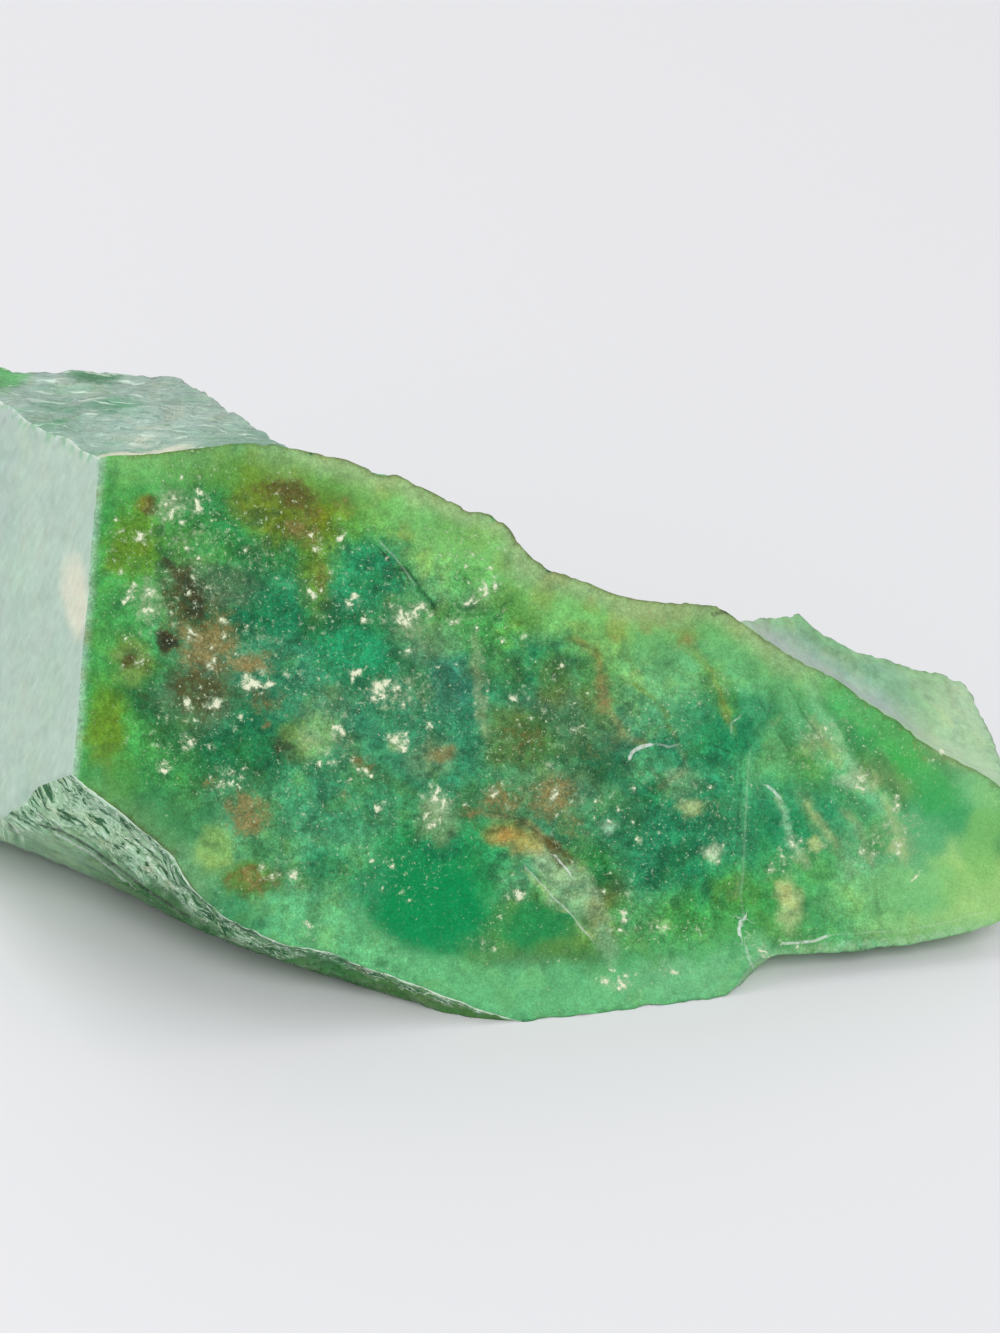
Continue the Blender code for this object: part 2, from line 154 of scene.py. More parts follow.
KINDS = ["front", "left", "top", "undercut", "shelf", "bevel", "tip", "broken", "underside"]
FRONT_NORMAL = unit(0.40, -1.26, 1.0)
LEFT_NORMAL = unit(-1.0, -0.576, 0.438)
HEEL = FOOT + np.array((-29.7, 1.6, 13.9))
TOP_NORMAL = np.array((0.0, 0.30, 0.954))
TOP_POINT = np.array((-12.3, -1.0, 28.3))
TOP_END_X = -11.5
SHELF_NORMAL = np.array((0.47, 0.10, 0.877))
SHELF_POINT = np.array((19.1, -0.8, 16.1))
SHELF_START_X = 15.0
CHIP_PLACE = np.array((11.3, -6.7, 11.8))
CHIP_REACH = 2.2
CHIP_DEPTH = 0.4
BEVEL_START_X = 17.8
BEVEL_BACK_Y = -11.0
BEVEL_HEIGHT = 2.6
TIP_START_X = 29.5
UNDERCUT_END_X = 5.0
UNDERCUT_BACK_Y = -3.2
UNDERCUT_HEIGHT = 14.5
TRUE_FLAT = 0.13
NEARLY_FLAT = 1.9
print("front leans back", round(math.degrees(math.asin(FRONT_NORMAL[2])), 1), "degrees")

# %% [markdown]
# ## Telling the kinds apart
#
# A face belongs to a sawn or flat kind if it lies on that kind's plane and is
# turned the same way, and to another kind if it lies in that part of the stone.
# The tests are tried in turn, and what passes none of them is a rough break.

# %% Tell the kinds of surface apart
def face_values(mesh):
    """The centre in mm and the normal of every face."""
    count = len(mesh.polygons)
    centres = np.empty(count * 3)
    normals = np.empty(count * 3)
    mesh.polygons.foreach_get("center", centres)
    mesh.polygons.foreach_get("normal", normals)
    return centres.reshape(-1, 3) / MM, normals.reshape(-1, 3)


def kinds_of(mesh):
    """The number of each face's kind in KINDS."""
    centre, normal = face_values(mesh)
    x, y, z = centre.T
    from_front = np.abs((centre - FOOT) @ FRONT_NORMAL)
    from_left = np.abs((centre - HEEL) @ LEFT_NORMAL)
    from_chip = np.linalg.norm(centre - CHIP_PLACE, axis=1)
    from_top = np.abs((centre - TOP_POINT) @ TOP_NORMAL)
    from_shelf = np.abs((centre - SHELF_POINT) @ SHELF_NORMAL)
    faces_us = normal[:, 1] < -0.2
    tests = [
        ("underside", (z < 0.02) & (normal[:, 2] < -0.99)),
        ("front", (from_front < TRUE_FLAT) & (normal @ FRONT_NORMAL > 0.9)),
        ("front", (from_chip < CHIP_REACH) & (from_front < CHIP_DEPTH)),
        ("left", (from_left < TRUE_FLAT) & (normal @ LEFT_NORMAL > 0.95)),
        ("top", (x < TOP_END_X) & (from_top < NEARLY_FLAT) & (normal @ TOP_NORMAL > 0.66)),
        ("shelf", (x > SHELF_START_X) & (from_shelf < NEARLY_FLAT) & (normal @ SHELF_NORMAL > 0.74)),
        ("bevel", (x > BEVEL_START_X) & (y < BEVEL_BACK_Y) & (z < BEVEL_HEIGHT) & faces_us),
        ("tip", (x > TIP_START_X) & (normal[:, 0] > 0.6)),
        ("undercut", (x < UNDERCUT_END_X) & (y < UNDERCUT_BACK_Y) & (z < UNDERCUT_HEIGHT) & faces_us),
    ]
    result = np.full(len(centre), KINDS.index("broken"))
    taken = np.zeros(len(centre), bool)
    for name, test in tests:
        chosen = test & ~taken
        result[chosen] = KINDS.index(name)
        taken |= chosen
    return result


kind = kinds_of(coarse)
for number, name in enumerate(KINDS):
    print(f"{name:10s}", int((kind == number).sum()), "triangles")

# %% [markdown]
# ## A finer mesh
#
# Catmull-Clark subdivision cuts each triangle into small quads and rounds the
# surface between them. A crease of 1 keeps an edge exactly where it is, and a
# crease between 0 and 1 lets it wear a little. Two levels give points about a
# third of a millimetre apart, which is close enough to paint on.

# %% Crease the stone's edges and subdivide
BORDER_CREASE = 1.0
WORN_CREASE = 0.55
WORN_ANGLE = math.radians(42.0)
SUBDIVISIONS = 2


def crease_edges(mesh, kind):
    """Store each face's kind, and crease the edges that stay sharp."""
    shape = bmesh.new()
    shape.from_mesh(mesh)
    kind_layer = shape.faces.layers.int.new("kind")
    crease = shape.edges.layers.float.new("crease_edge")
    for face in shape.faces:
        face[kind_layer] = int(kind[face.index])
        face.smooth = True
    creased = 0
    for edge in shape.edges:
        a, b = edge.link_faces
        if a[kind_layer] != b[kind_layer]:
            edge[crease] = BORDER_CREASE
            creased += 1
        elif edge.calc_face_angle() > WORN_ANGLE:
            edge[crease] = WORN_CREASE
    shape.to_mesh(mesh)
    shape.free()
    return creased


def evaluated(piece, name):
    """The mesh of a piece with its modifiers applied."""
    bpy.context.view_layer.update()
    graph = bpy.context.evaluated_depsgraph_get()
    mesh = bpy.data.meshes.new_from_object(piece.evaluated_get(graph))
    mesh.name = name
    return mesh


def subdivided(mesh):
    """An object with the mesh subdivided."""
    piece = bpy.data.objects.new("stone", mesh)
    bpy.context.scene.collection.objects.link(piece)
    smoother = piece.modifiers.new("finer", "SUBSURF")
    smoother.levels = SUBDIVISIONS
    smoother.render_levels = SUBDIVISIONS
    fine = evaluated(piece, "stone_fine")
    piece.modifiers.remove(smoother)
    piece.data = fine
    return piece


print("creased edges:", crease_edges(coarse, kind))
stone = subdivided(coarse)
print("fine mesh:", len(stone.data.vertices), "points,", len(stone.data.polygons), "quads")

# %% [markdown]
# ## How far each point is from an edge
#
# Edges chip first, and they let light through, so both relief and colour need
# to know how far away the nearest edge is. The points on a border between two
# kinds of surface are put in a search tree, which answers that for every point.

# %% Measure the distance to the nearest edge
FAR = 9.0


def point_places(mesh):
    """The place of every point, in mm."""
    places = np.empty(len(mesh.vertices) * 3)
    mesh.vertices.foreach_get("co", places)
    return places.reshape(-1, 3) / MM


def corner_values(mesh):
    """The point number and the kind of every face corner."""
    points = np.empty(len(mesh.loops), np.int32)
    mesh.loops.foreach_get("vertex_index", points)
    kinds = np.empty(len(mesh.polygons), np.int32)
    mesh.attributes["kind"].data.foreach_get("value", kinds)
    sides = np.empty(len(mesh.polygons), np.int32)
    mesh.polygons.foreach_get("loop_total", sides)
    return points, np.repeat(kinds, sides)


def touching(mesh):
    """For each kind, which points lie on a face of that kind."""
    points, kinds = corner_values(mesh)
    result = np.zeros((len(KINDS), len(mesh.vertices)), bool)
    for number in range(len(KINDS)):
        result[number, points[kinds == number]] = True
    return result


def distance_to(targets, places):
    """Distance in mm from every place to the nearest target, up to FAR."""
    tree = kdtree.KDTree(len(targets))
    for number, target in enumerate(targets):
        tree.insert(target, number)
    tree.balance()
    return np.array([min(tree.find(place)[2], FAR) for place in places])


def store(mesh, name, values, domain="POINT"):
    """Keep one number for each point, or for each corner, as an attribute."""
    attribute = mesh.attributes.new(name, "FLOAT", domain)
    attribute.data.foreach_set("value", np.asarray(values, np.float32))


places = point_places(stone.data)
touches = touching(stone.data)
on_border = touches.sum(axis=0) > 1
edge_gap = distance_to(places[on_border], places)
front_border = touches[KINDS.index("front")] & on_border
front_gap = distance_to(places[front_border], places)
store(stone.data, "edge_gap", edge_gap)
store(stone.data, "front_gap", front_gap)
print("points on an edge:", int(on_border.sum()), "of", len(places))

# %% [markdown]
# ## Relief
#
# A saw leaves fine parallel marks. The break on top left small waves, like sand
# under shallow water, and the break under the front left sharper ridges. Chalcedony
# has no cleavage, so the other breaks are shallow shells that meet in low ridges,
# and every edge carries small shell-shaped chips.
#
# All of these follow rules, so Geometry Nodes make them: each kind of surface
# has its own pattern, and the points move inwards by its depth. They never move
# outwards, so the stone keeps its size. Each depth is a named input.

# %% A small kit for building node trees
class Nodes:
    """Adds nodes to a tree and links them in one call."""

    def __init__(self, tree):
        self.tree = tree

    def add(self, kind, inputs=None, **settings):
        """A node with settings, and inputs that are values or other nodes' outputs."""
        node = self.tree.nodes.new(kind)
        for name, value in settings.items():
            setattr(node, name, value)
        for name, value in (inputs or {}).items():
            socket = node.inputs[name]
            if isinstance(value, bpy.types.NodeSocket):
                self.tree.links.new(value, socket)
            else:
                socket.default_value = value
        return node

    def math(self, operation, *values, clamp=False):
        """The result of a Math node."""
        node = self.add("ShaderNodeMath", dict(enumerate(values)), operation=operation, use_clamp=clamp)
        return node.outputs[0]

    def vector(self, operation, a, b):
        """The result of a Vector Math node on two vectors."""
        return self.add("ShaderNodeVectorMath", {0: a, 1: b}, operation=operation).outputs[0]

    def scaled(self, vector, size):
        """A vector made longer by a number."""
        node = self.add("ShaderNodeVectorMath", {0: vector, "Scale": size}, operation="SCALE")
        return node.outputs[0]

    def smooth(self, value, start, end, low=0.0, high=1.0):
        """Low below start, high above end, and a smooth step between."""
        inputs = {"Value": value, "From Min": start, "From Max": end, "To Min": low, "To Max": high}
        node = self.add("ShaderNodeMapRange", inputs, interpolation_type="SMOOTHSTEP")
        return node.outputs["Result"]

    def noise(self, vector, scale, detail=3.0, roughness=0.55, warp=0.0):
        """Noise between 0 and 1, centred on 0.5."""
        inputs = {"Vector": vector, "Scale": scale, "Detail": detail, "Roughness": roughness}
        inputs["Distortion"] = warp
        return self.add("ShaderNodeTexNoise", inputs).outputs[0]

    def swing(self, vector, scale, detail=3.0, roughness=0.55, warp=0.0):
        """Noise between about -1 and 1."""
        value = self.noise(vector, scale, detail, roughness, warp)
        return self.math("MULTIPLY_ADD", value, 4.0, -2.0)


print("the kit has:", [name for name in vars(Nodes) if not name.startswith("_")])

# %% [markdown]
# ## Depths of the relief
#
# The deepest relief is the shells of the rough breaks, a bit over half a
# millimetre, and the finest is the saw marks. Each depth becomes a named input
# of the tree, so that another stone can be given its own. The seed shift moves
# all the patterns at once to another part of the noise.

# %% Depths of the relief, and an empty tree that takes them
RELIEF_DEPTHS = {
    "Saw depth": 0.035 * MM,
    "Ripple depth": 0.32 * MM,
    "Ridge depth": 0.42 * MM,
    "Shell depth": 0.60 * MM,
    "Break depth": 0.14 * MM,
    "Chip depth": 0.22 * MM,
}
SEED_SHIFT = (17.3, -4.1, 8.9)


def empty_relief_tree():
    """A tree that takes and gives geometry, with a named input for each depth."""
    tree = bpy.data.node_groups.new("stone_relief", "GeometryNodeTree")
    tree.interface.new_socket("Geometry", in_out="INPUT", socket_type="NodeSocketGeometry")
    for name, depth in RELIEF_DEPTHS.items():
        socket = tree.interface.new_socket(name, in_out="INPUT", socket_type="NodeSocketFloat")
        socket.default_value = depth
    tree.interface.new_socket("Geometry", in_out="OUTPUT", socket_type="NodeSocketGeometry")
    return tree


def known(kit, name, data_type="FLOAT"):
    """The value that was stored for each point or face under a name."""
    return kit.add("GeometryNodeInputNamedAttribute", {"Name": name}, data_type=data_type).outputs[0]


print("relief depths in mm:", {name: round(depth / MM, 3) for name, depth in RELIEF_DEPTHS.items()})

# %% [markdown]
# ## The pattern of each kind of surface
#
# Folded noise, the distance of noise from its middle value, has sharp valleys
# where it crosses the middle, as ripples and shells have where they meet. It
# could be sculpted by hand, but then it could not be scaled to another stone.
# Stretching the place that the noise reads turns round lumps into saw marks,
# into ripples along X, or into ridges that follow the edge of the front.

# %% Patterns between 0 and 1
def saw_marks(kit, place):
    """Fine upright stripes."""
    return kit.noise(kit.vector("MULTIPLY", place, (2.6, 2.6, 0.22)), 1.0, 2.0)


def ripples(kit, place):
    """Broad swells along X with smaller waves on them."""
    along = kit.vector("MULTIPLY", place, (0.22, 0.72, 0.72))
    swell = kit.math("ABSOLUTE", kit.swing(along, 1.0, 2.0, 0.5, 0.8))
    along = kit.vector("MULTIPLY", place, (0.5, 2.1, 2.1))
    wave = kit.math("ABSOLUTE", kit.swing(along, 1.0, 3.0, 0.55, 0.9))
    return kit.math("MULTIPLY_ADD", swell, 0.6, kit.math("MULTIPLY", wave, 0.4))


def edge_ridges(kit, place, front_gap):
    """Ridges that run along the front's edge, and die out away from it."""
    parts_of_place = kit.add("ShaderNodeSeparateXYZ", {0: place}).outputs
    stretch = {"X": kit.math("MULTIPLY", parts_of_place[0], 0.5)}
    stretch["Y"] = kit.math("MULTIPLY", front_gap, 1.5)
    flow = kit.add("ShaderNodeCombineXYZ", stretch).outputs[0]
    ridge = kit.math("ABSOLUTE", kit.swing(flow, 1.0, 4.0, 0.6, 1.2))
    return kit.math("MULTIPLY", ridge, kit.smooth(front_gap, 5.5, 8.5, 1.0, 0.25))


def shells(kit, place, scale, roughness, warp):
    """Shallow shells that meet in sharp lines."""
    return kit.math("ABSOLUTE", kit.swing(place, scale, 5.0, roughness, warp))


def chips(kit, place):
    """Small hollows, with whole stretches of edge between them."""
    return kit.smooth(kit.noise(place, 0.8, 3.0, 0.6), 0.42, 0.72)


print("patterns: saw marks, ripples, ridges, shells of two sizes, and chips")

# %% [markdown]
# ## The relief tree
#
# The tree adds up the depths, each under a mask that is 1 on its own kind of
# surface, and moves the points inwards by the sum. It also stores the pattern
# of the large shells, because the colours of the breaks follow it. It ends with
# Realize Instances, and gives each face one of the stone's two materials.

# %% Build the relief tree
def relief_depth(kit, given, place, only, gap, front_gap, shell, shell_mask):
    """How deep each point moves in: the layers added up."""
    at_edge = kit.smooth(gap, 0.0, 0.75, 1.0, 0.0)
    fine_shell = shells(kit, place, 0.35, 0.55, 0.4)
    layers = [
        ("Saw depth", only("front", "left"), saw_marks(kit, place)),
        ("Ripple depth", only("top"), ripples(kit, place)),
        ("Ridge depth", only("undercut"), edge_ridges(kit, place, front_gap)),
        ("Shell depth", kit.math("MULTIPLY", only("broken"), shell_mask), shell),
        ("Break depth", only("broken", "shelf", "tip"), fine_shell),
        ("Chip depth", at_edge, chips(kit, place)),
    ]
    depth = 0.0
    for name, mask, pattern in layers:
        layer = kit.math("MULTIPLY", given.outputs[name], mask)
        depth = kit.math("MULTIPLY_ADD", layer, kit.math("MINIMUM", pattern, 1.0), depth)
    return depth


def relief_tree(front_material, break_material):
    """A node tree that moves the points of each kind of surface inwards."""
    tree = empty_relief_tree()
    kit = Nodes(tree)
    given = kit.add("NodeGroupInput")
    place = kit.scaled(kit.add("GeometryNodeInputPosition").outputs[0], 1.0 / MM)
    place = kit.vector("ADD", place, SEED_SHIFT)
    gap = known(kit, "edge_gap")
    number = known(kit, "kind", "INT")
    inner = kit.smooth(gap, 0.0, 0.9)

    def only(*names):
        """1 on the named kinds of surface, away from their edges."""
        total = 0.0
        for name in names:
            same = kit.math("COMPARE", number, float(KINDS.index(name)), 0.5)
            total = kit.math("ADD", same, total)
        return kit.math("MULTIPLY", kit.math("MINIMUM", total, 1.0), inner)

    shell = shells(kit, place, 0.13, 0.5, 0.6)
    shell_mask = kit.smooth(gap, 0.3, 3.0)
    depth = relief_depth(kit, given, place, only, gap, known(kit, "front_gap"), shell, shell_mask)
    push = kit.scaled(kit.add("GeometryNodeInputNormal").outputs[0], kit.math("MULTIPLY", depth, -1.0))
    hollow = kit.math("MULTIPLY", kit.math("MULTIPLY", only("broken"), shell_mask), shell)
    kept = {"Geometry": given.outputs["Geometry"], "Name": "hollow", "Value": hollow}
    kept = kit.add("GeometryNodeStoreNamedAttribute", kept, data_type="FLOAT", domain="POINT")
    moved = kit.add("GeometryNodeSetPosition", {"Geometry": kept.outputs[0], "Offset": push})
    real = kit.add("GeometryNodeRealizeInstances", {"Geometry": moved.outputs[0]})
    all_over = {"Geometry": real.outputs[0], "Material": break_material}
    all_over = kit.add("GeometryNodeSetMaterial", all_over)
    in_front = kit.math("COMPARE", number, float(KINDS.index("front")), 0.5)
    finished = {"Geometry": all_over.outputs[0], "Selection": in_front, "Material": front_material}
    finished = kit.add("GeometryNodeSetMaterial", finished)
    out = kit.add("NodeGroupOutput")
    tree.links.new(finished.outputs[0], out.inputs[0])
    return tree


def new_material(name):
    """An empty node material."""
    material = bpy.data.materials.new(name)
    material.use_nodes = True
    return material


sawn_front = new_material("chrysoprase_front")
broken_stone = new_material("chrysoprase_break")
relief = relief_tree(sawn_front, broken_stone)
print("relief tree:", len(relief.nodes), "nodes")

# %% [markdown]
# ## Apply the relief
#
# The tree runs as a modifier. Its inputs are set by their identifiers, because
# names may repeat and identifiers don't. The evaluated result becomes a plain
# mesh, and the modifier is removed. Relief near the table could leave a few
# points a hair below it, so those are lifted.

# %% Apply the relief
def with_relief(piece, tree):
    """Run the relief tree on a piece and keep the result as a plain mesh."""
    modifier = piece.modifiers.new("relief", "NODES")
    modifier.node_group = tree
    for item in tree.interface.items_tree:
        if item.in_out == "INPUT" and item.name in RELIEF_DEPTHS:
            modifier[item.identifier] = RELIEF_DEPTHS[item.name]
    mesh = evaluated(piece, "stone_mesh")
    piece.modifiers.remove(modifier)
    piece.data = mesh


def keep_on_table(mesh):
    """Lift the few points that ended a hair below the table."""
    for point in mesh.vertices:
        point.co.z = max(point.co.z, 0.0)


with_relief(stone, relief)
keep_on_table(stone.data)
before = places
places = point_places(stone.data)
moved = np.linalg.norm(places - before, axis=1)
print("relief: up to", round(float(moved.max()), 2), "mm deep")


# %% [markdown]
# ## Where a mark is
#
# A mark is placed by where the camera sees it, in millimetres right of the
# front foot and above it. Each point of the mesh gets its place on that card
# once. From then on the marks belong to the mesh and stay on the stone, from
# whatever side it is seen.

# %% Give every point its place on the card
def seen_on_card(places):
    """Millimetres right of the foot and above it, as the camera sees each place."""
    forward, right, up = camera_axes()
    from_lens = places - camera_place()
    reach = (FOOT - camera_place()) @ forward / (from_lens @ forward)
    foot_side = (FOOT - camera_place()) @ right
    foot_rise = (FOOT - camera_place()) @ up
    return from_lens @ right * reach - foot_side, from_lens @ up * reach - foot_rise


def on_card(column, row):
    """The same for a pixel of the picture."""
    return (column - FOOT_PIXEL[0]) * MM_PER_PIXEL, (FOOT_PIXEL[1] - row) * MM_PER_PIXEL


def run_on_card(pixels):
    """The same for a run of pixels."""
    return [on_card(*pixel) for pixel in pixels]


side, rise = seen_on_card(places)
print("card, mm:", round(side.min(), 1), "to", round(side.max(), 1), "across")

# %% [markdown]
# ## Steps and noise
#
# Two tools are used for nearly every mark. A step turns a distance into how much
# of the mark there is. Noise shifts the card itself a little, by up to about a
# millimetre, in two directions that have nothing to do with each other.

# %% Shift the card with noise
def wander(places, scale, seed):
    """Smooth noise at every place, between about -1 and 1."""
    shift = Vector((seed * 7.1, -seed * 3.3, seed * 5.7))
    return np.array([noise.noise(Vector(place) * scale + shift) for place in places])


def step(value, start, end):
    """0 before start, 1 after end, and a smooth step between. Start may be the larger."""
    t = np.clip((value - start) / (end - start), 0.0, 1.0)
    return t * t * (3.0 - 2.0 * t)


def loosely(seed):
    """Broad and fine noise together, in mm, to make the borders of the marks wander."""
    broad = 0.70 * wander(places, 0.30, seed)
    middle = 0.60 * wander(places, 0.95, seed + 1)
    return broad + middle + 0.36 * wander(places, 2.1, seed + 2)


loose = loosely(1)
loose_too = loosely(4)
depth_in = np.clip(-((places - FOOT) @ FRONT_NORMAL), 0.0, None)
print("borders wander by up to", round(float(np.abs(loose).max()), 2), "mm")

# %% [markdown]
# ## Colours
#
# Chrysoprase runs from apple green through emerald to a dark bluish green, where
# the nickel is rich. Iron stains parts of it olive, brown and tan, and specks of
# pale clay and opal sit in it. The palette names each of these once, as it looks
# in plain daylight. Blender mixes light in linear values, so each is converted.

# %% The palette
def linear(red, green, blue):
    """A screen colour from 0 to 255 as linear values."""
    share = np.array((red, green, blue)) / 255.0
    return np.where(share <= 0.04045, share / 12.92, ((share + 0.055) / 1.055) ** 2.4)


PALETTE = {
    "body": linear(82, 150, 102),
    "leaf": linear(70, 160, 76),
    "apple": linear(122, 188, 104),
    "vivid": linear(52, 172, 76),
    "forest": linear(36, 118, 62),
    "sea": linear(98, 180, 118),
    "mint": linear(134, 206, 144),
    "teal": linear(46, 128, 90),
    "pool": linear(20, 114, 72),
    "slate": linear(58, 126, 100),
    "emerald": linear(4, 137, 76),
    "deep": linear(28, 136, 88),
    "sage": linear(130, 158, 112),
    "moss": linear(86, 134, 34),
    "olive": linear(104, 122, 20),
    "umber": linear(88, 76, 34),
    "bark": linear(44, 38, 28),
    "tan": linear(150, 130, 80),
    "grey": linear(84, 110, 80),
    "lime": linear(142, 184, 94),
    "yellow": linear(172, 216, 128),
    "pale": linear(176, 198, 132),
    "rim": linear(152, 178, 124),
    "frost": linear(178, 198, 188),
    "frost_green": linear(180, 205, 188),
    # haze is used for painted sheen, glint and crest for painted highlights, and fern for painted shade
    "haze": linear(172, 182, 178),
    "glint": linear(222, 232, 222),
    "cream": linear(240, 232, 206),
    "clay": linear(186, 202, 158),
    "opal": linear(232, 236, 204),
    "crumb": linear(190, 210, 172),
    "fern": linear(4, 92, 46),
    "crest": linear(226, 246, 226),
    "foam": linear(172, 218, 176),
    "rust": linear(150, 84, 44),
    "ochre": linear(140, 120, 22),
    "mist": linear(140, 176, 138),
    "ink": linear(24, 44, 34),
    "shade": linear(22, 76, 50),
    "dew": linear(118, 158, 135),
    "bottle": linear(40, 114, 48),
    "lawn": linear(122, 174, 134),
}
print(len(PALETTE), "colours")

# %% [markdown]
# ## The marks
#
# The marks are placed by hand, as pixels of the finished picture, because that
# is how their places are read off a test render: columns from the left, rows
# from the top, and half sizes in pixels too. `on_card` turns a pixel into its
# millimetres on the card.
#
# Most marks are ovals, with a middle, two half sizes and a tilt in degrees, and
# the others are runs of straight stretches. Either kind is a distance, worked
# out at every point of the mesh, so a step can cut it off sharply or fade it
# out. Noise shifts the point that is measured. So the borders wander, because
# minerals seep into stone and leave no clean outlines.

# %% Measure from ovals and lines
LINE_WOBBLE = 0.35


def oval(column, row, half_width, half_height, tilt, blur=1.0):
    """How far every point is from the middle of a tilted oval: 1 on its outline."""
    mark_side, mark_rise = on_card(column, row)
    reach_side = half_width * MM_PER_PIXEL
    reach_rise = half_height * MM_PER_PIXEL
    a = side + loose * blur - mark_side
    b = rise + loose_too * blur - mark_rise
    turn = math.radians(tilt)
    along = (a * math.cos(turn) + b * math.sin(turn)) / reach_side
    across = (b * math.cos(turn) - a * math.sin(turn)) / reach_rise
    return np.sqrt(along**2 + across**2)


def line_gap(pixels, wobble=LINE_WOBBLE):
    """Signed distance in mm on the card to a run of stretches, and how far past its ends."""
    points = run_on_card(pixels)
    a = side + wobble * loose
    b = rise + wobble * loose_too
    nearest = np.full(len(a), np.inf)
    sign = np.ones(len(a))
    past = np.zeros(len(a))
    for (x0, y0), (x1, y1) in zip(points, points[1:]):
        length = math.hypot(x1 - x0, y1 - y0)
        along = ((a - x0) * (x1 - x0) + (b - y0) * (y1 - y0)) / length
        across = ((b - y0) * (x1 - x0) - (a - x0) * (y1 - y0)) / length
        beyond = np.maximum(-along, along - length).clip(0.0)
        far = np.hypot(beyond, across)
        closer = far < nearest
        nearest = np.where(closer, far, nearest)
        sign = np.where(closer, np.where(across < 0.0, -1.0, 1.0), sign)
        past = np.where(closer, beyond, past)
    return sign * nearest, past


print("marks are measured from", len(places), "points")

# %% [markdown]
# ## Body colour
#
# A body colour with broad drifts of other greens runs through the whole stone.
# It is what the back and the underside show. Each drift is laid over the last
# one, like a thin wash, wherever its own noise is high.

# %% Paint the body colour
BODY_DRIFTS = [
    # Colour, strength, scale and seed of its noise, and where it starts and is full
    ("leaf", 1.0, 0.11, 11, -0.1, 0.5),
    ("deep", 0.8, 0.13, 12, 0.0, 0.45),
    ("pool", 0.7, 0.16, 13, 0.15, 0.5),
    ("moss", 0.6, 0.15, 14, 0.15, 0.5),
    ("sea", 0.6, 0.12, 15, 0.1, 0.5),
    ("umber", 0.5, 0.22, 16, 0.3, 0.55),
]


def wash(colour, name, strength):
    """Mix a palette colour over the colours so far."""
    return colour + (PALETTE[name] - colour) * np.asarray(strength)[:, None]


def body_colours():
    """The colour that runs through the whole stone."""
    colour = np.tile(PALETTE["body"], (len(places), 1))
    for name, strength, scale, seed, start, full in BODY_DRIFTS:
        colour = wash(colour, name, strength * step(wander(places, scale, seed), start, full))
    return colour


washes = body_colours()
print("body colour: green", round(washes[:, 1].min(), 2), "to", round(washes[:, 1].max(), 2))

# %% [markdown]
# ## Patches
#
# The sawn front shows what the stone is like inside: broad areas of one green
# or another, with smaller and darker or browner ones among them. Each is an
# oval with a palette colour and a strength. The list runs from broad to small,
# because the later ones are laid over the earlier ones.

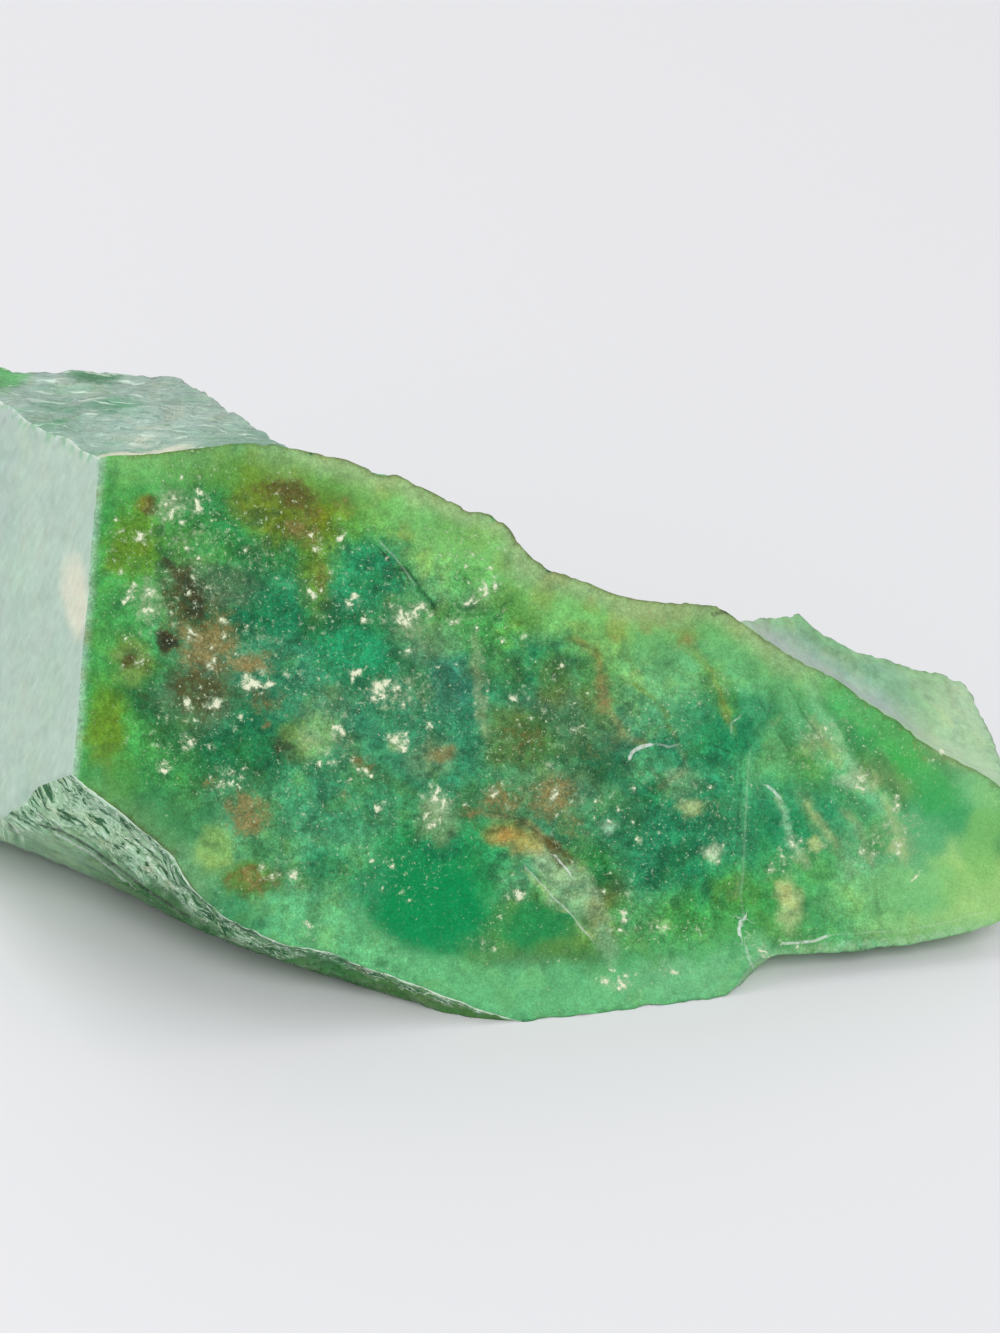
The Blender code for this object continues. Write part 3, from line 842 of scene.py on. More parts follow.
# %% List the patches
PATCHES = [
    # Column, row, half width, half height, tilt, colour, strength
    # Broad areas
    (200, 520, 170, 90, 0, "leaf", 0.8),
    (120, 620, 55, 190, 0, "leaf", 0.85),
    (180, 466, 110, 22, 4, "apple", 0.45),
    (330, 500, 70, 60, -30, "leaf", 0.6),
    (360, 485, 60, 26, -25, "apple", 0.5),
    (450, 545, 80, 44, -35, "apple", 0.8),
    (560, 620, 95, 38, -18, "apple", 0.75),
    (700, 655, 85, 40, -15, "sea", 0.7),
    (640, 700, 70, 50, -20, "sea", 0.35),
    (790, 690, 80, 50, -35, "sea", 0.8),
    (870, 720, 90, 60, -32, "sea", 0.75),
    (870, 850, 120, 75, -10, "sea", 0.8),
    (290, 660, 140, 110, -10, "teal", 0.75),
    (420, 700, 110, 90, 0, "teal", 0.65),
    (230, 740, 70, 50, 0, "teal", 0.6),
    (400, 800, 150, 70, 0, "teal", 0.5),
    (640, 800, 110, 80, -10, "teal", 0.7),
    (340, 870, 90, 60, 0, "body", 0.6),
    (165, 800, 60, 50, 0, "forest", 0.45),
    (560, 740, 80, 60, 0, "grey", 0.6),
    (560, 1000, 260, 34, 2, "sea", 0.75),
    # Dark greens
    (212, 512, 40, 32, 0, "forest", 0.65),
    (268, 545, 62, 32, -5, "forest", 0.7),
    (258, 610, 62, 34, -4, "pool", 0.9),
    (330, 625, 40, 26, 0, "pool", 0.6),
    (365, 575, 48, 44, 0, "deep", 0.8),
    (352, 645, 52, 34, -10, "forest", 0.6),
    (352, 650, 40, 26, -10, "deep", 0.85),
    (450, 675, 24, 46, 4, "slate", 0.7),
    (440, 752, 48, 44, 0, "teal", 0.6),
    (240, 735, 58, 44, 0, "pool", 0.8),
    (165, 690, 50, 30, -10, "forest", 0.75),
    (152, 700, 26, 20, 0, "forest", 0.6),
    (152, 700, 26, 20, 0, "shade", 0.35),
    (455, 866, 60, 34, 8, "emerald", 0.6),
    (430, 905, 72, 54, -12, "emerald", 1),
    (370, 880, 30, 22, 0, "deep", 0.5),
    (700, 768, 62, 46, 0, "deep", 0.6),
    (742, 722, 34, 34, -20, "deep", 0.65),
    (722, 850, 62, 66, 0, "deep", 0.65),
    (650, 852, 60, 44, 0, "pool", 0.5),
    (668, 795, 40, 24, -30, "deep", 0.6),
    (790, 820, 44, 56, -60, "deep", 0.75),
    (878, 722, 74, 30, -34, "vivid", 0.95),
    (925, 778, 46, 24, -40, "vivid", 0.5),
    (960, 800, 30, 40, 0, "vivid", 0.2),
    (480, 630, 60, 34, 0, "leaf", 0.6),
    (560, 668, 50, 26, -10, "forest", 0.45),
    (560, 745, 50, 36, -10, "forest", 0.45),
    (800, 865, 44, 40, -20, "leaf", 0.5),
    (790, 700, 40, 40, 0, "teal", 0.25),
    (480, 585, 40, 26, -30, "leaf", 0.5),
    (215, 540, 70, 50, 0, "forest", 0.35),
    (645, 930, 60, 34, 0, "leaf", 0.5),
    (175, 768, 50, 30, -20, "leaf", 0.5),
    (168, 812, 46, 34, -20, "forest", 0.4),
    (180, 762, 30, 24, 0, "forest", 0.35),
    (722, 742, 30, 24, 0, "emerald", 0.4),
    (280, 900, 60, 30, -35, "body", 0.5),
    # Olive drifts
    (340, 812, 60, 36, 0, "teal", 0.6),
    (425, 846, 52, 26, 0, "emerald", 0.7),
    (538, 922, 44, 28, 10, "emerald", 0.8),
    (712, 714, 42, 28, -20, "deep", 0.6),
    (540, 655, 34, 24, 0, "teal", 0.5),
    (605, 762, 30, 22, 0, "pool", 0.65),
    (375, 566, 34, 30, 0, "deep", 0.5),
    (200, 600, 40, 24, 0, "forest", 0.6),
    (206, 602, 32, 22, 0, "shade", 0.55),
    (244, 610, 30, 20, 0, "pool", 0.6),
    (320, 868, 26, 22, 0, "deep", 0.65),
    (592, 866, 15, 22, 0, "forest", 0.8),
    (545, 668, 24, 20, 0, "deep", 0.6),
    (885, 784, 30, 16, -20, "sea", 0.5),
    (430, 756, 28, 22, 0, "sage", 0.35),
    (245, 760, 46, 30, 0, "forest", 0.5),
    (815, 738, 12, 20, -60, "sage", 0.45),
    (862, 782, 22, 12, -20, "pale", 0.4),
    (905, 845, 12, 18, 0, "sage", 0.4),
    (830, 790, 22, 14, -40, "deep", 0.15),
    (858, 742, 18, 12, -40, "deep", 0.35),
    (880, 832, 14, 20, -60, "leaf", 0.55),
    (680, 782, 24, 16, 0, "sage", 0.35),
    (130, 660, 26, 34, 0, "moss", 0.4),
    (130, 660, 22, 28, 0, "tan", 0.3),
    (180, 722, 36, 24, 0, "forest", 0.6),
    (445, 845, 20, 16, 0, "pool", 0.8),
    (800, 830, 30, 40, -60, "deep", 0.65),
    (880, 690, 40, 16, -34, "sea", 0.4),
    (284, 486, 26, 16, -20, "ochre", 0.6),
    (314, 528, 14, 18, 0, "ochre", 0.45),
    (338, 509, 14, 13, 0, "lime", 0.5),
    (319, 576, 14, 17, 0, "ochre", 0.5),
    (381, 488, 16, 11, -20, "ochre", 0.4),
    (405, 531, 9, 13, 0, "ochre", 0.35),
    (615, 623, 10, 19, 0, "ochre", 0.55),
    (647, 620, 11, 15, 0, "ochre", 0.55),
    (591, 604, 9, 9, 0, "ochre", 0.45),
    (540, 593, 16, 15, -40, "ochre", 0.35),
    (500, 565, 16, 12, -40, "ochre", 0.3),
    (580, 626, 16, 6, -10, "ochre", 0.25),
    (690, 634, 14, 11, -30, "ochre", 0.5),
    (633, 681, 16, 9, -20, "lime", 0.35),
    (143, 505, 10, 9, 0, "ochre", 0.8),
    (130, 548, 22, 13, 0, "olive", 0.45),
    (112, 566, 10, 12, 0, "olive", 0.65),
    (553, 684, 22, 22, 0, "olive", 0.35),
    (290, 488, 60, 34, -12, "olive", 0.8),
    (240, 470, 50, 20, 5, "moss", 0.6),
    (650, 612, 36, 18, -10, "tan", 0.35),
    (640, 655, 60, 40, -30, "lime", 0.15),
    (200, 690, 48, 44, 0, "grey", 0.6),
    (150, 540, 60, 30, 0, "moss", 0.3),
    (292, 515, 62, 40, -28, "olive", 0.75),
    (345, 500, 54, 26, -28, "moss", 0.6),
    (315, 575, 20, 48, 0, "moss", 0.65),
    (135, 545, 32, 44, 0, "moss", 0.8),
    (105, 725, 22, 44, 0, "moss", 0.85),
    (105, 735, 22, 36, 0, "olive", 0.3),
    (125, 780, 22, 18, -40, "moss", 0.3),
    (256, 882, 30, 22, 0, "moss", 0.75),
    (500, 842, 20, 10, 0, "olive", 0.6),
    (720, 690, 16, 34, 30, "moss", 0.4),
    (885, 775, 44, 18, -28, "moss", 0.45),
    (735, 890, 30, 26, 0, "moss", 0.35),
    (440, 752, 16, 8, 0, "tan", 0.6),
    (455, 530, 26, 14, -40, "moss", 0.3),
    (520, 610, 34, 16, -40, "moss", 0.45),
    (520, 740, 44, 30, -20, "moss", 0.35),
    (600, 690, 24, 44, 0, "moss", 0.35),
    # Pale areas
    (215, 852, 20, 28, 0, "lime", 0.65),
    (312, 735, 34, 24, 30, "lime", 0.4),
    (330, 705, 30, 22, 0, "sage", 0.2),
    (526, 847, 36, 13, -14, "sage", 0.85),
    (560, 868, 30, 14, -32, "sage", 0.6),
    (655, 765, 28, 15, 4, "sea", 0.4),
    (566, 886, 18, 46, 36, "mist", 0.5),
    (600, 926, 13, 44, 18, "mist", 0.5),
    (520, 842, 34, 14, -8, "ochre", 0.55),
    (500, 842, 18, 10, 0, "tan", 0.4),
    (596, 872, 14, 24, 10, "forest", 0.9),
    (430, 640, 40, 20, 0, "sage", 0.3),
    (205, 582, 52, 24, -12, "grey", 0.6),
    (788, 906, 12, 30, 3, "pale", 0.9),
    (712, 853, 9, 9, 0, "crumb", 0.6),
    (691, 808, 13, 10, 0, "pale", 0.75),
    (886, 778, 34, 13, -28, "sage", 0.4),
    (608, 826, 10, 10, 0, "mist", 0.9),
    (677, 774, 11, 9, 0, "sage", 0.5),
    (800, 855, 9, 10, -30, "pale", 0.3),
    (815, 843, 7, 9, 0, "pale", 0.75),
    (893, 843, 8, 10, -40, "pale", 0.75),
    (896, 802, 8, 12, -30, "pale", 0.3),
    (843, 780, 14, 8, -20, "foam", 0.5),
    (873, 833, 9, 7, -40, "sage", 0.45),
    (663, 924, 9, 7, 0, "pale", 0.2),
    (777, 721, 6, 10, -40, "tan", 0.3),
    (440, 806, 13, 14, 0, "mist", 0.5),
    (312, 735, 14, 12, 0, "mist", 0.35),
    (395, 745, 10, 8, 0, "pale", 0.35),
    (975, 885, 52, 46, 0, "yellow", 0.75),
    (985, 792, 24, 26, 0, "sea", 0.6),
    (940, 925, 90, 20, 5, "yellow", 0.6),
    (900, 890, 80, 30, 8, "apple", 0.7),
    (985, 830, 22, 60, 0, "apple", 0.8),
    (955, 752, 34, 12, -35, "pale", 0.5),
    (660, 990, 120, 26, 8, "mint", 0.6),
    (545, 985, 90, 22, -4, "sea", 0.4),
    (760, 955, 18, 22, 0, "mint", 0.75),
    (330, 930, 80, 24, -28, "sea", 0.8),
    (440, 820, 22, 22, 0, "sage", 0.5),
    (400, 962, 60, 14, -16, "sea", 0.8),
    (890, 880, 60, 40, -10, "mint", 0.3),
    (830, 700, 50, 24, -34, "sea", 0.35),
    (975, 790, 26, 22, 0, "mint", 0.4),
    (690, 985, 60, 24, 0, "foam", 0.5),
    (880, 722, 44, 18, -34, "deep", 0.3),
    (725, 742, 34, 24, 0, "deep", 0.3),
    (650, 620, 40, 14, -10, "rim", 0.4),
    (820, 640, 30, 20, -30, "mint", 0.3),
    (168, 640, 8, 10, 0, "ink", 0.8),
    (478, 600, 24, 15, 0, "sage", 0.3),
]
print(len(PATCHES), "patches")

# %% [markdown]
# ## Laying the patches
#
# The patches are washes, like the drifts of the body colour, and they fade into
# it away from the sawn front. A small patch wanders less than a large one, or
# the noise would carry it off its place.

# %% Lay the patches
FADE_IN = 5.0
SOFT_EDGE = (1.25, 0.55)
LEAST_BLUR = 0.25
BLUR_PER_PIXEL = 0.02
near_front = np.exp(-depth_in / FADE_IN)


def own_blur(*half_sizes):
    """How much the border of a patch of this size wanders."""
    return min(1.0, LEAST_BLUR + BLUR_PER_PIXEL * min(half_sizes))


for *place, name, strength in PATCHES:
    far = oval(*place, blur=own_blur(*place[2:4]))
    washes = wash(washes, name, strength * step(far, *SOFT_EDGE) * near_front)
print("laid", len(PATCHES), "patches")

# %% [markdown]
# ## Pale band and veins
#
# A clear emerald body, the lens, lies low on the front. Below it runs a paler
# band. Its border is crisp under the middle of the lens and gets softer to both
# sides. Veins are old cracks that healed: soft lines in the colour of what
# filled them, each with its run of pixels, a half width, a colour and a strength.

# %% Lay the pale band and the veins
LENS_MIDDLE = -6.0
CRISPEST = 0.25
SOFTER_PER_MM = 0.12
BAND_STRENGTH = 0.85
VEIN_DEPTH = 1.0
LENS_EDGE = [
    (250, 926), (300, 881), (340, 895), (362, 906), (372, 926), (403, 946), (442, 956),
    (482, 965), (543, 971), (593, 970), (643, 953), (695, 943), (740, 936),
]
VEINS = [
    ([(474, 636), (479, 690), (484, 735)], 4, "sage", 0.5),
    ([(578, 638), (600, 660), (604, 700), (624, 733), (642, 745)], 3.5, "tan", 0.35),
    ([(655, 628), (690, 650), (706, 672), (725, 705), (733, 730)], 3.5, "lime", 0.2),
    ([(750, 752), (746, 790), (742, 840), (740, 895)], 3, "sea", 0.35),
    ([(525, 868), (560, 905), (592, 938)], 1.3, "pale", 0.4),
    ([(778, 798), (790, 840), (806, 866)], 3, "foam", 0.45),
    ([(756, 964), (800, 951), (860, 947), (920, 938), (990, 922)], 5, "foam", 0.2),
    ([(800, 792), (822, 830), (850, 868)], 7, "sage", 0.3),
    ([(382, 550), (393, 568)], 1.8, "bark", 0.6),
    ([(400, 562), (418, 585), (432, 602)], 3, "forest", 0.85),
    ([(770, 690), (792, 742)], 5, "forest", 0.45),
    ([(812, 690), (840, 745), (860, 775)], 6, "foam", 0.18),
    ([(795, 690), (826, 745)], 4.5, "forest", 0.45),
    ([(845, 725), (880, 770), (905, 805)], 6, "forest", 0.4),
    ([(830, 775), (862, 815), (880, 850)], 6, "forest", 0.4),
    ([(838, 740), (866, 790), (896, 840)], 5, "foam", 0.12),
    ([(490, 818), (530, 824), (556, 846)], 4, "rust", 0.42),
    ([(822, 700), (850, 738), (868, 776)], 4, "forest", 0.45),
    ([(770, 712), (790, 748), (806, 790)], 3.5, "forest", 0.4),
    ([(868, 738), (892, 776), (908, 812)], 3.5, "forest", 0.4),
    ([(884, 800), (896, 826), (904, 856)], 4, "pale", 0.5),
    ([(846, 812), (862, 840), (872, 866)], 3.5, "sage", 0.5),
    ([(806, 800), (820, 822), (834, 846)], 3, "pale", 0.45),
    ([(905, 720), (930, 748), (950, 772)], 3, "forest", 0.35),
    ([(812, 720), (826, 742), (838, 760)], 4, "pale", 0.35),
    ([(569, 639), (590, 644), (604, 657)], 3, "ochre", 0.35),
    ([(633, 684), (652, 697), (668, 713), (672, 737)], 2, "olive", 0.5),
    ([(671, 628), (687, 641), (711, 673), (721, 695), (731, 724)], 3, "ochre", 0.3),
    ([
        (674, 745), (682, 750), (686, 758), (685, 767), (680, 775), (671, 782), (660, 786),
    ], 2.4, "sage", 0.35),
]

below_lens = np.interp(side, *zip(*run_on_card(LENS_EDGE))) - rise + 0.25 * loose
lens_blur = CRISPEST + SOFTER_PER_MM * np.abs(side - LENS_MIDDLE)
washes = wash(washes, "sea", BAND_STRENGTH * step(below_lens, -lens_blur, lens_blur) * near_front)
for pixels, half_width, name, strength in VEINS:
    far = np.abs(line_gap(pixels)[0])
    width = half_width * MM_PER_PIXEL
    share = strength * step(far, 1.8 * width, 0.4 * width) * (depth_in < VEIN_DEPTH)
    washes = wash(washes, name, share)
print("laid", len(VEINS), "veins")

# %% [markdown]
# ## Distances from the edges
#
# Several finishes follow an edge where two kinds of surface meet: the crest of
# the front, the two long edges of the sawn left end, and the front's lower
# border, which the ridges of the undercut run along. A band of ridges is widest
# at the left and thins out towards the foot.

# %% Measure from the edges
CREST_LOWEST_Z = 8.0
CREST_START_X = -21.5
RIDGE_ENDS_SIDE = (-34.0, -26.0, -21.0, -15.0, -6.0)
RIDGE_ENDS_REACH = (4.2, 3.4, 1.5, 0.6, 0.3)


def shared_edge(first, second):
    """The points that touch two kinds of surface."""
    return places[touches[KINDS.index(first)] & touches[KINDS.index(second)]]


def below_front():
    """How far every point is seen below the front's lower border, in mm."""
    chosen = front_border & (depth_in < 0.5) & (rise < 15.0) & (side < 0.0)
    order = np.argsort(side[chosen])
    return np.interp(side, side[chosen][order], rise[chosen][order]) - rise


is_crest = front_border & (places[:, 2] > CREST_LOWEST_Z) & (places[:, 0] > CREST_START_X)
crest_gap = distance_to(places[is_crest], places)
left_top_gap = distance_to(shared_edge("left", "top"), places)
left_front_gap = distance_to(shared_edge("left", "front"), places)
ridge_reach = np.interp(side, RIDGE_ENDS_SIDE, RIDGE_ENDS_REACH)
ridged = step(below_front() + 0.5 * loose, 1.1 * ridge_reach, 0.7 * ridge_reach)
hollow = np.empty(len(places))
stone.data.attributes["hollow"].data.foreach_get("value", hollow)
print("crest:", int(is_crest.sum()), "points")

# %% [markdown]
# ## Colours of the sawn faces
#
# The edges of the stone are thin and let light through, so the crest of the
# front has a pale, yellowish rim of painted glow. The sawn left end is scratched,
# so it looks milky. Its long upper edge is nicked, and the nicks show fresh
# green; between them the edge carries a painted highlight.

# %% Colour the sawn faces
def front_colours():
    """The sawn front: the washes, with a pale rim of painted glow under the crest."""
    uneven = crest_gap * (1.0 + 0.5 * wander(places, 0.5, 21))
    paler = step(side, -20.0, -14.0) * step(side, 17.0, 13.0)
    # the apple and rim washes under the crest are painted glow of light through the thin edge
    colour = wash(washes, "apple", (0.10 + 0.35 * paler) * step(uneven, 4.2, 0.8))
    colour = wash(colour, "rim", (0.15 + 0.60 * paler) * step(uneven, 1.8, 0.3))
    colour = wash(colour, "umber", 0.50 * step(crest_gap, 0.25, 0.02))
    return wash(colour, "frost_green", 0.6 * step(left_front_gap, 0.55, 0.05))


def left_colours():
    """The sawn left end: milky, greener towards the front, with nicks and a painted highlight along its
    top edge.
    """
    colour = np.tile(PALETTE["frost"], (len(places), 1))
    colour = wash(colour, "frost_green", step(places[:, 0] + 2.0 * loose, -30.5, -27.5))
    upright = wander(places * (1.0, 1.0, 0.3), 0.35, 22)
    colour = wash(colour, "mint", 0.10 * step(upright, 0.1, 0.6))
    colour = wash(colour, "haze", 0.20 * step(wander(places, 0.25, 23), 0.1, 0.6))
    colour = wash(colour, "cream", 0.55 * step(oval(75, 595, 15, 47, 4, 0.3), 1.2, 0.6))
    nicks = step(left_top_gap, 0.9, 0.2) * step(wander(places, 1.9, 26), 0.0, 0.3)
    colour = wash(colour, "sea", 0.55 * nicks)
    # glint between the nicks is a painted highlight along the top edge
    return wash(colour, "glint", 0.5 * step(left_top_gap, 0.3, 0.0) * (1.0 - nicks))


def mean_colour(name):
    """The mean colour of a kind of surface, in linear values."""
    mean = colours_of[name][touches[KINDS.index(name)]].mean(axis=0)
    return [round(float(value), 2) for value in mean]


colours_of = {"front": front_colours(), "left": left_colours()}
print("front:", mean_colour("front"), "left:", mean_colour("left"))

# %% [markdown]
# ## Colours of the top
#
# The top is a rippled break. A painted sheen lies on it, stronger towards the
# back, its waves are greener in the hollows, and a few clear green hollows lie
# along its far edge. Along the front it has a cream rim, where the thin edge is
# chipped.

# %% Colour the top
TOP_HOLLOWS = [
    # Place, half sizes and tilt, then colour and strength
    (7, 375, 28, 13, 0, "leaf", 0.8),
    (97, 375, 27, 9, 0, "forest", 0.8),
    (117, 406, 32, 10, -6, "deep", 0.55),
    (60, 408, 30, 8, -8, "deep", 0.45),
]


def top_colours():
    """The rippled top: green with greener waves, a painted sheen towards the back, and a pale rim along
    the front.
    """
    colour = np.tile(PALETTE["dew"], (len(places), 1))
    waves = wander(places * (0.35, 1.0, 1.0), 0.75, 24)
    colour = wash(colour, "sea", 0.45 * step(waves, 0.1, 0.55))
    colour = wash(colour, "deep", 0.55 * step(waves + 0.3 * loose, 0.35, 0.8))
    # haze towards the back is painted sheen, a reflection of the bright surroundings
    colour = wash(colour, "haze", 0.45 * step(places[:, 1] + loose, 0.5, 6.0))
    for *place, name, strength in TOP_HOLLOWS:
        colour = wash(colour, name, strength * step(oval(*place, 0.5), 1.3, 0.5))
    chipped = step(oval(152, 440, 23, 8, 8, 0.3), 1.4, 0.3) * step(waves, -0.3, 0.2)
    colour = wash(colour, "cream", 0.7 * chipped)
    colour = wash(colour, "frost", 0.5 * step(oval(152, 431, 92, 25, 4, 0.6), 1.3, 0.4))
    near_corner = step(side + 0.4 * loose, -21.0, -23.5)
    return wash(colour, "cream", 0.6 * near_corner * step(front_gap + 0.3 * loose, 1.1, 0.5))


colours_of["top"] = top_colours()
print("top:", mean_colour("top"))

# %% [markdown]
# ## Colours of the breaks
#
# The undercut, the shelf, the low bevel by the foot and the rough breaks all
# have their own colours. Breaks are paler where they are thin, a painted glow,
# and on their worn edges and ridges, partly wear and partly painted highlight.
# Their hollows get painted shade.

# %% Colour the breaks
def undercut_colours():
    """The ridged break under the front: a painted pale-green sheen where it is ridged, sage green below.
    """
    colour = np.tile(PALETTE["bottle"], (len(places), 1))
    colour = wash(colour, "sage", 0.30 * step(wander(places, 0.5, 25), -0.2, 0.5))
    colour = wash(colour, "forest", 0.45 * step(wander(places, 0.4, 27), 0.0, 0.5))
    colour = wash(colour, "moss", 0.35 * step(side, -14.0, -8.0))
    # foam on the ridged band is painted sheen, the reflection that the wet ridges catch
    colour = wash(colour, "foam", ridged * (0.90 - 0.60 * step(side, -26.0, -20.0)))
    colour = wash(colour, "foam", 0.45 * step(side, -26.0, -29.5) * (1.0 - ridged))
    return wash(colour, "rust", 0.25 * ridged * step(wander(places, 0.9, 28), 0.35, 0.6))


def shelf_colours():
    """The shelf behind the right slope: painted sheen by the crest, yellow-green at its end."""
    colour = np.tile(PALETTE["lawn"], (len(places), 1))
    # haze by the crest is painted sheen, a reflection of the bright surroundings
    colour = wash(colour, "haze", 0.85 * step(crest_gap + 0.5 * loose, 4.8, 1.2))
    colour = wash(colour, "yellow", 0.55 * step(places[:, 0] + loose, 25.0, 31.0))
    colour = wash(colour, "apple", 0.4 * step(edge_gap + 0.4 * loose, 1.4, 0.2))
    return wash(colour, "frost", 0.35 * step(places[:, 0] + loose, 27.0, 31.0))


def broken_colours():
    """The rough breaks behind and below: painted highlights on the ridges and worn edges, painted shade
    in the hollows.
    """
    # the ridge and edge mask is partly wear and partly painted highlight; the shade in the hollows is
    # painted shade
    wear_and_highlight = step(hollow, 0.10, 0.0) * step(edge_gap, 0.4, 1.5)
    wear_and_highlight += step(edge_gap + 0.3 * loose, 1.0, 0.1)
    wear_and_highlight = np.clip(wear_and_highlight, 0.0, 1.0) * (1.0 - 0.6 * step(front_gap, 1.2, 0.2))
    colour = wash(washes, "shade", 0.45 * step(hollow, 0.25, 0.75))
    return wash(colour, "foam", 0.40 * wear_and_highlight)


def bevel_colours():
    """The low bevel by the front foot: the washes made paler, a painted glow of light through the thin
    stone.
    """
    inside = step(front_gap, 0.0, 0.8)
    colour = wash(washes, "apple", 0.5 * inside)
    return wash(colour, "foam", 0.12 * inside * step(edge_gap + 0.2 * loose, 0.9, 0.2))


colours_of["undercut"] = undercut_colours()
colours_of["shelf"] = shelf_colours()
colours_of["bevel"] = bevel_colours()
colours_of["broken"] = broken_colours()
print("undercut:", mean_colour("undercut"), "shelf:", mean_colour("shelf"))

# %% [markdown]
# ## Crisp borders between colours
#
# Colours are kept for each corner of a face, not for each point. Two faces that
# share a point can then have two colours there, and two kinds of surface meet
# at a crisp line. The tip and the underside keep the washes as they are.

# %% Store the colours
def corner_colours(mesh):
    """One colour for every face corner, by the kind of its face."""
    points, kinds = corner_values(mesh)
    result = washes[points]
    for name, colours in colours_of.items():
        chosen = kinds == KINDS.index(name)
        result[chosen] = colours[points[chosen]]
    return result


def store_colours(mesh, name, colours):
    """Keep a linear colour for every face corner."""
    attribute = mesh.attributes.new(name, "FLOAT_COLOR", "CORNER")
    full = np.ones((len(colours), 4), np.float32)
    full[:, :3] = colours
    attribute.data.foreach_set("color", full.ravel())


store_colours(stone.data, "body_colour", corner_colours(stone.data))
print("coloured", len(stone.data.loops), "corners")

# %% [markdown]
# ## Specks of clay and opal
#
# Pale specks lie in small splashes: a few grains up to a millimetre long, with
# finer crumbs around them. A splash is an oval with a number of grains and
# their half size in pixels.

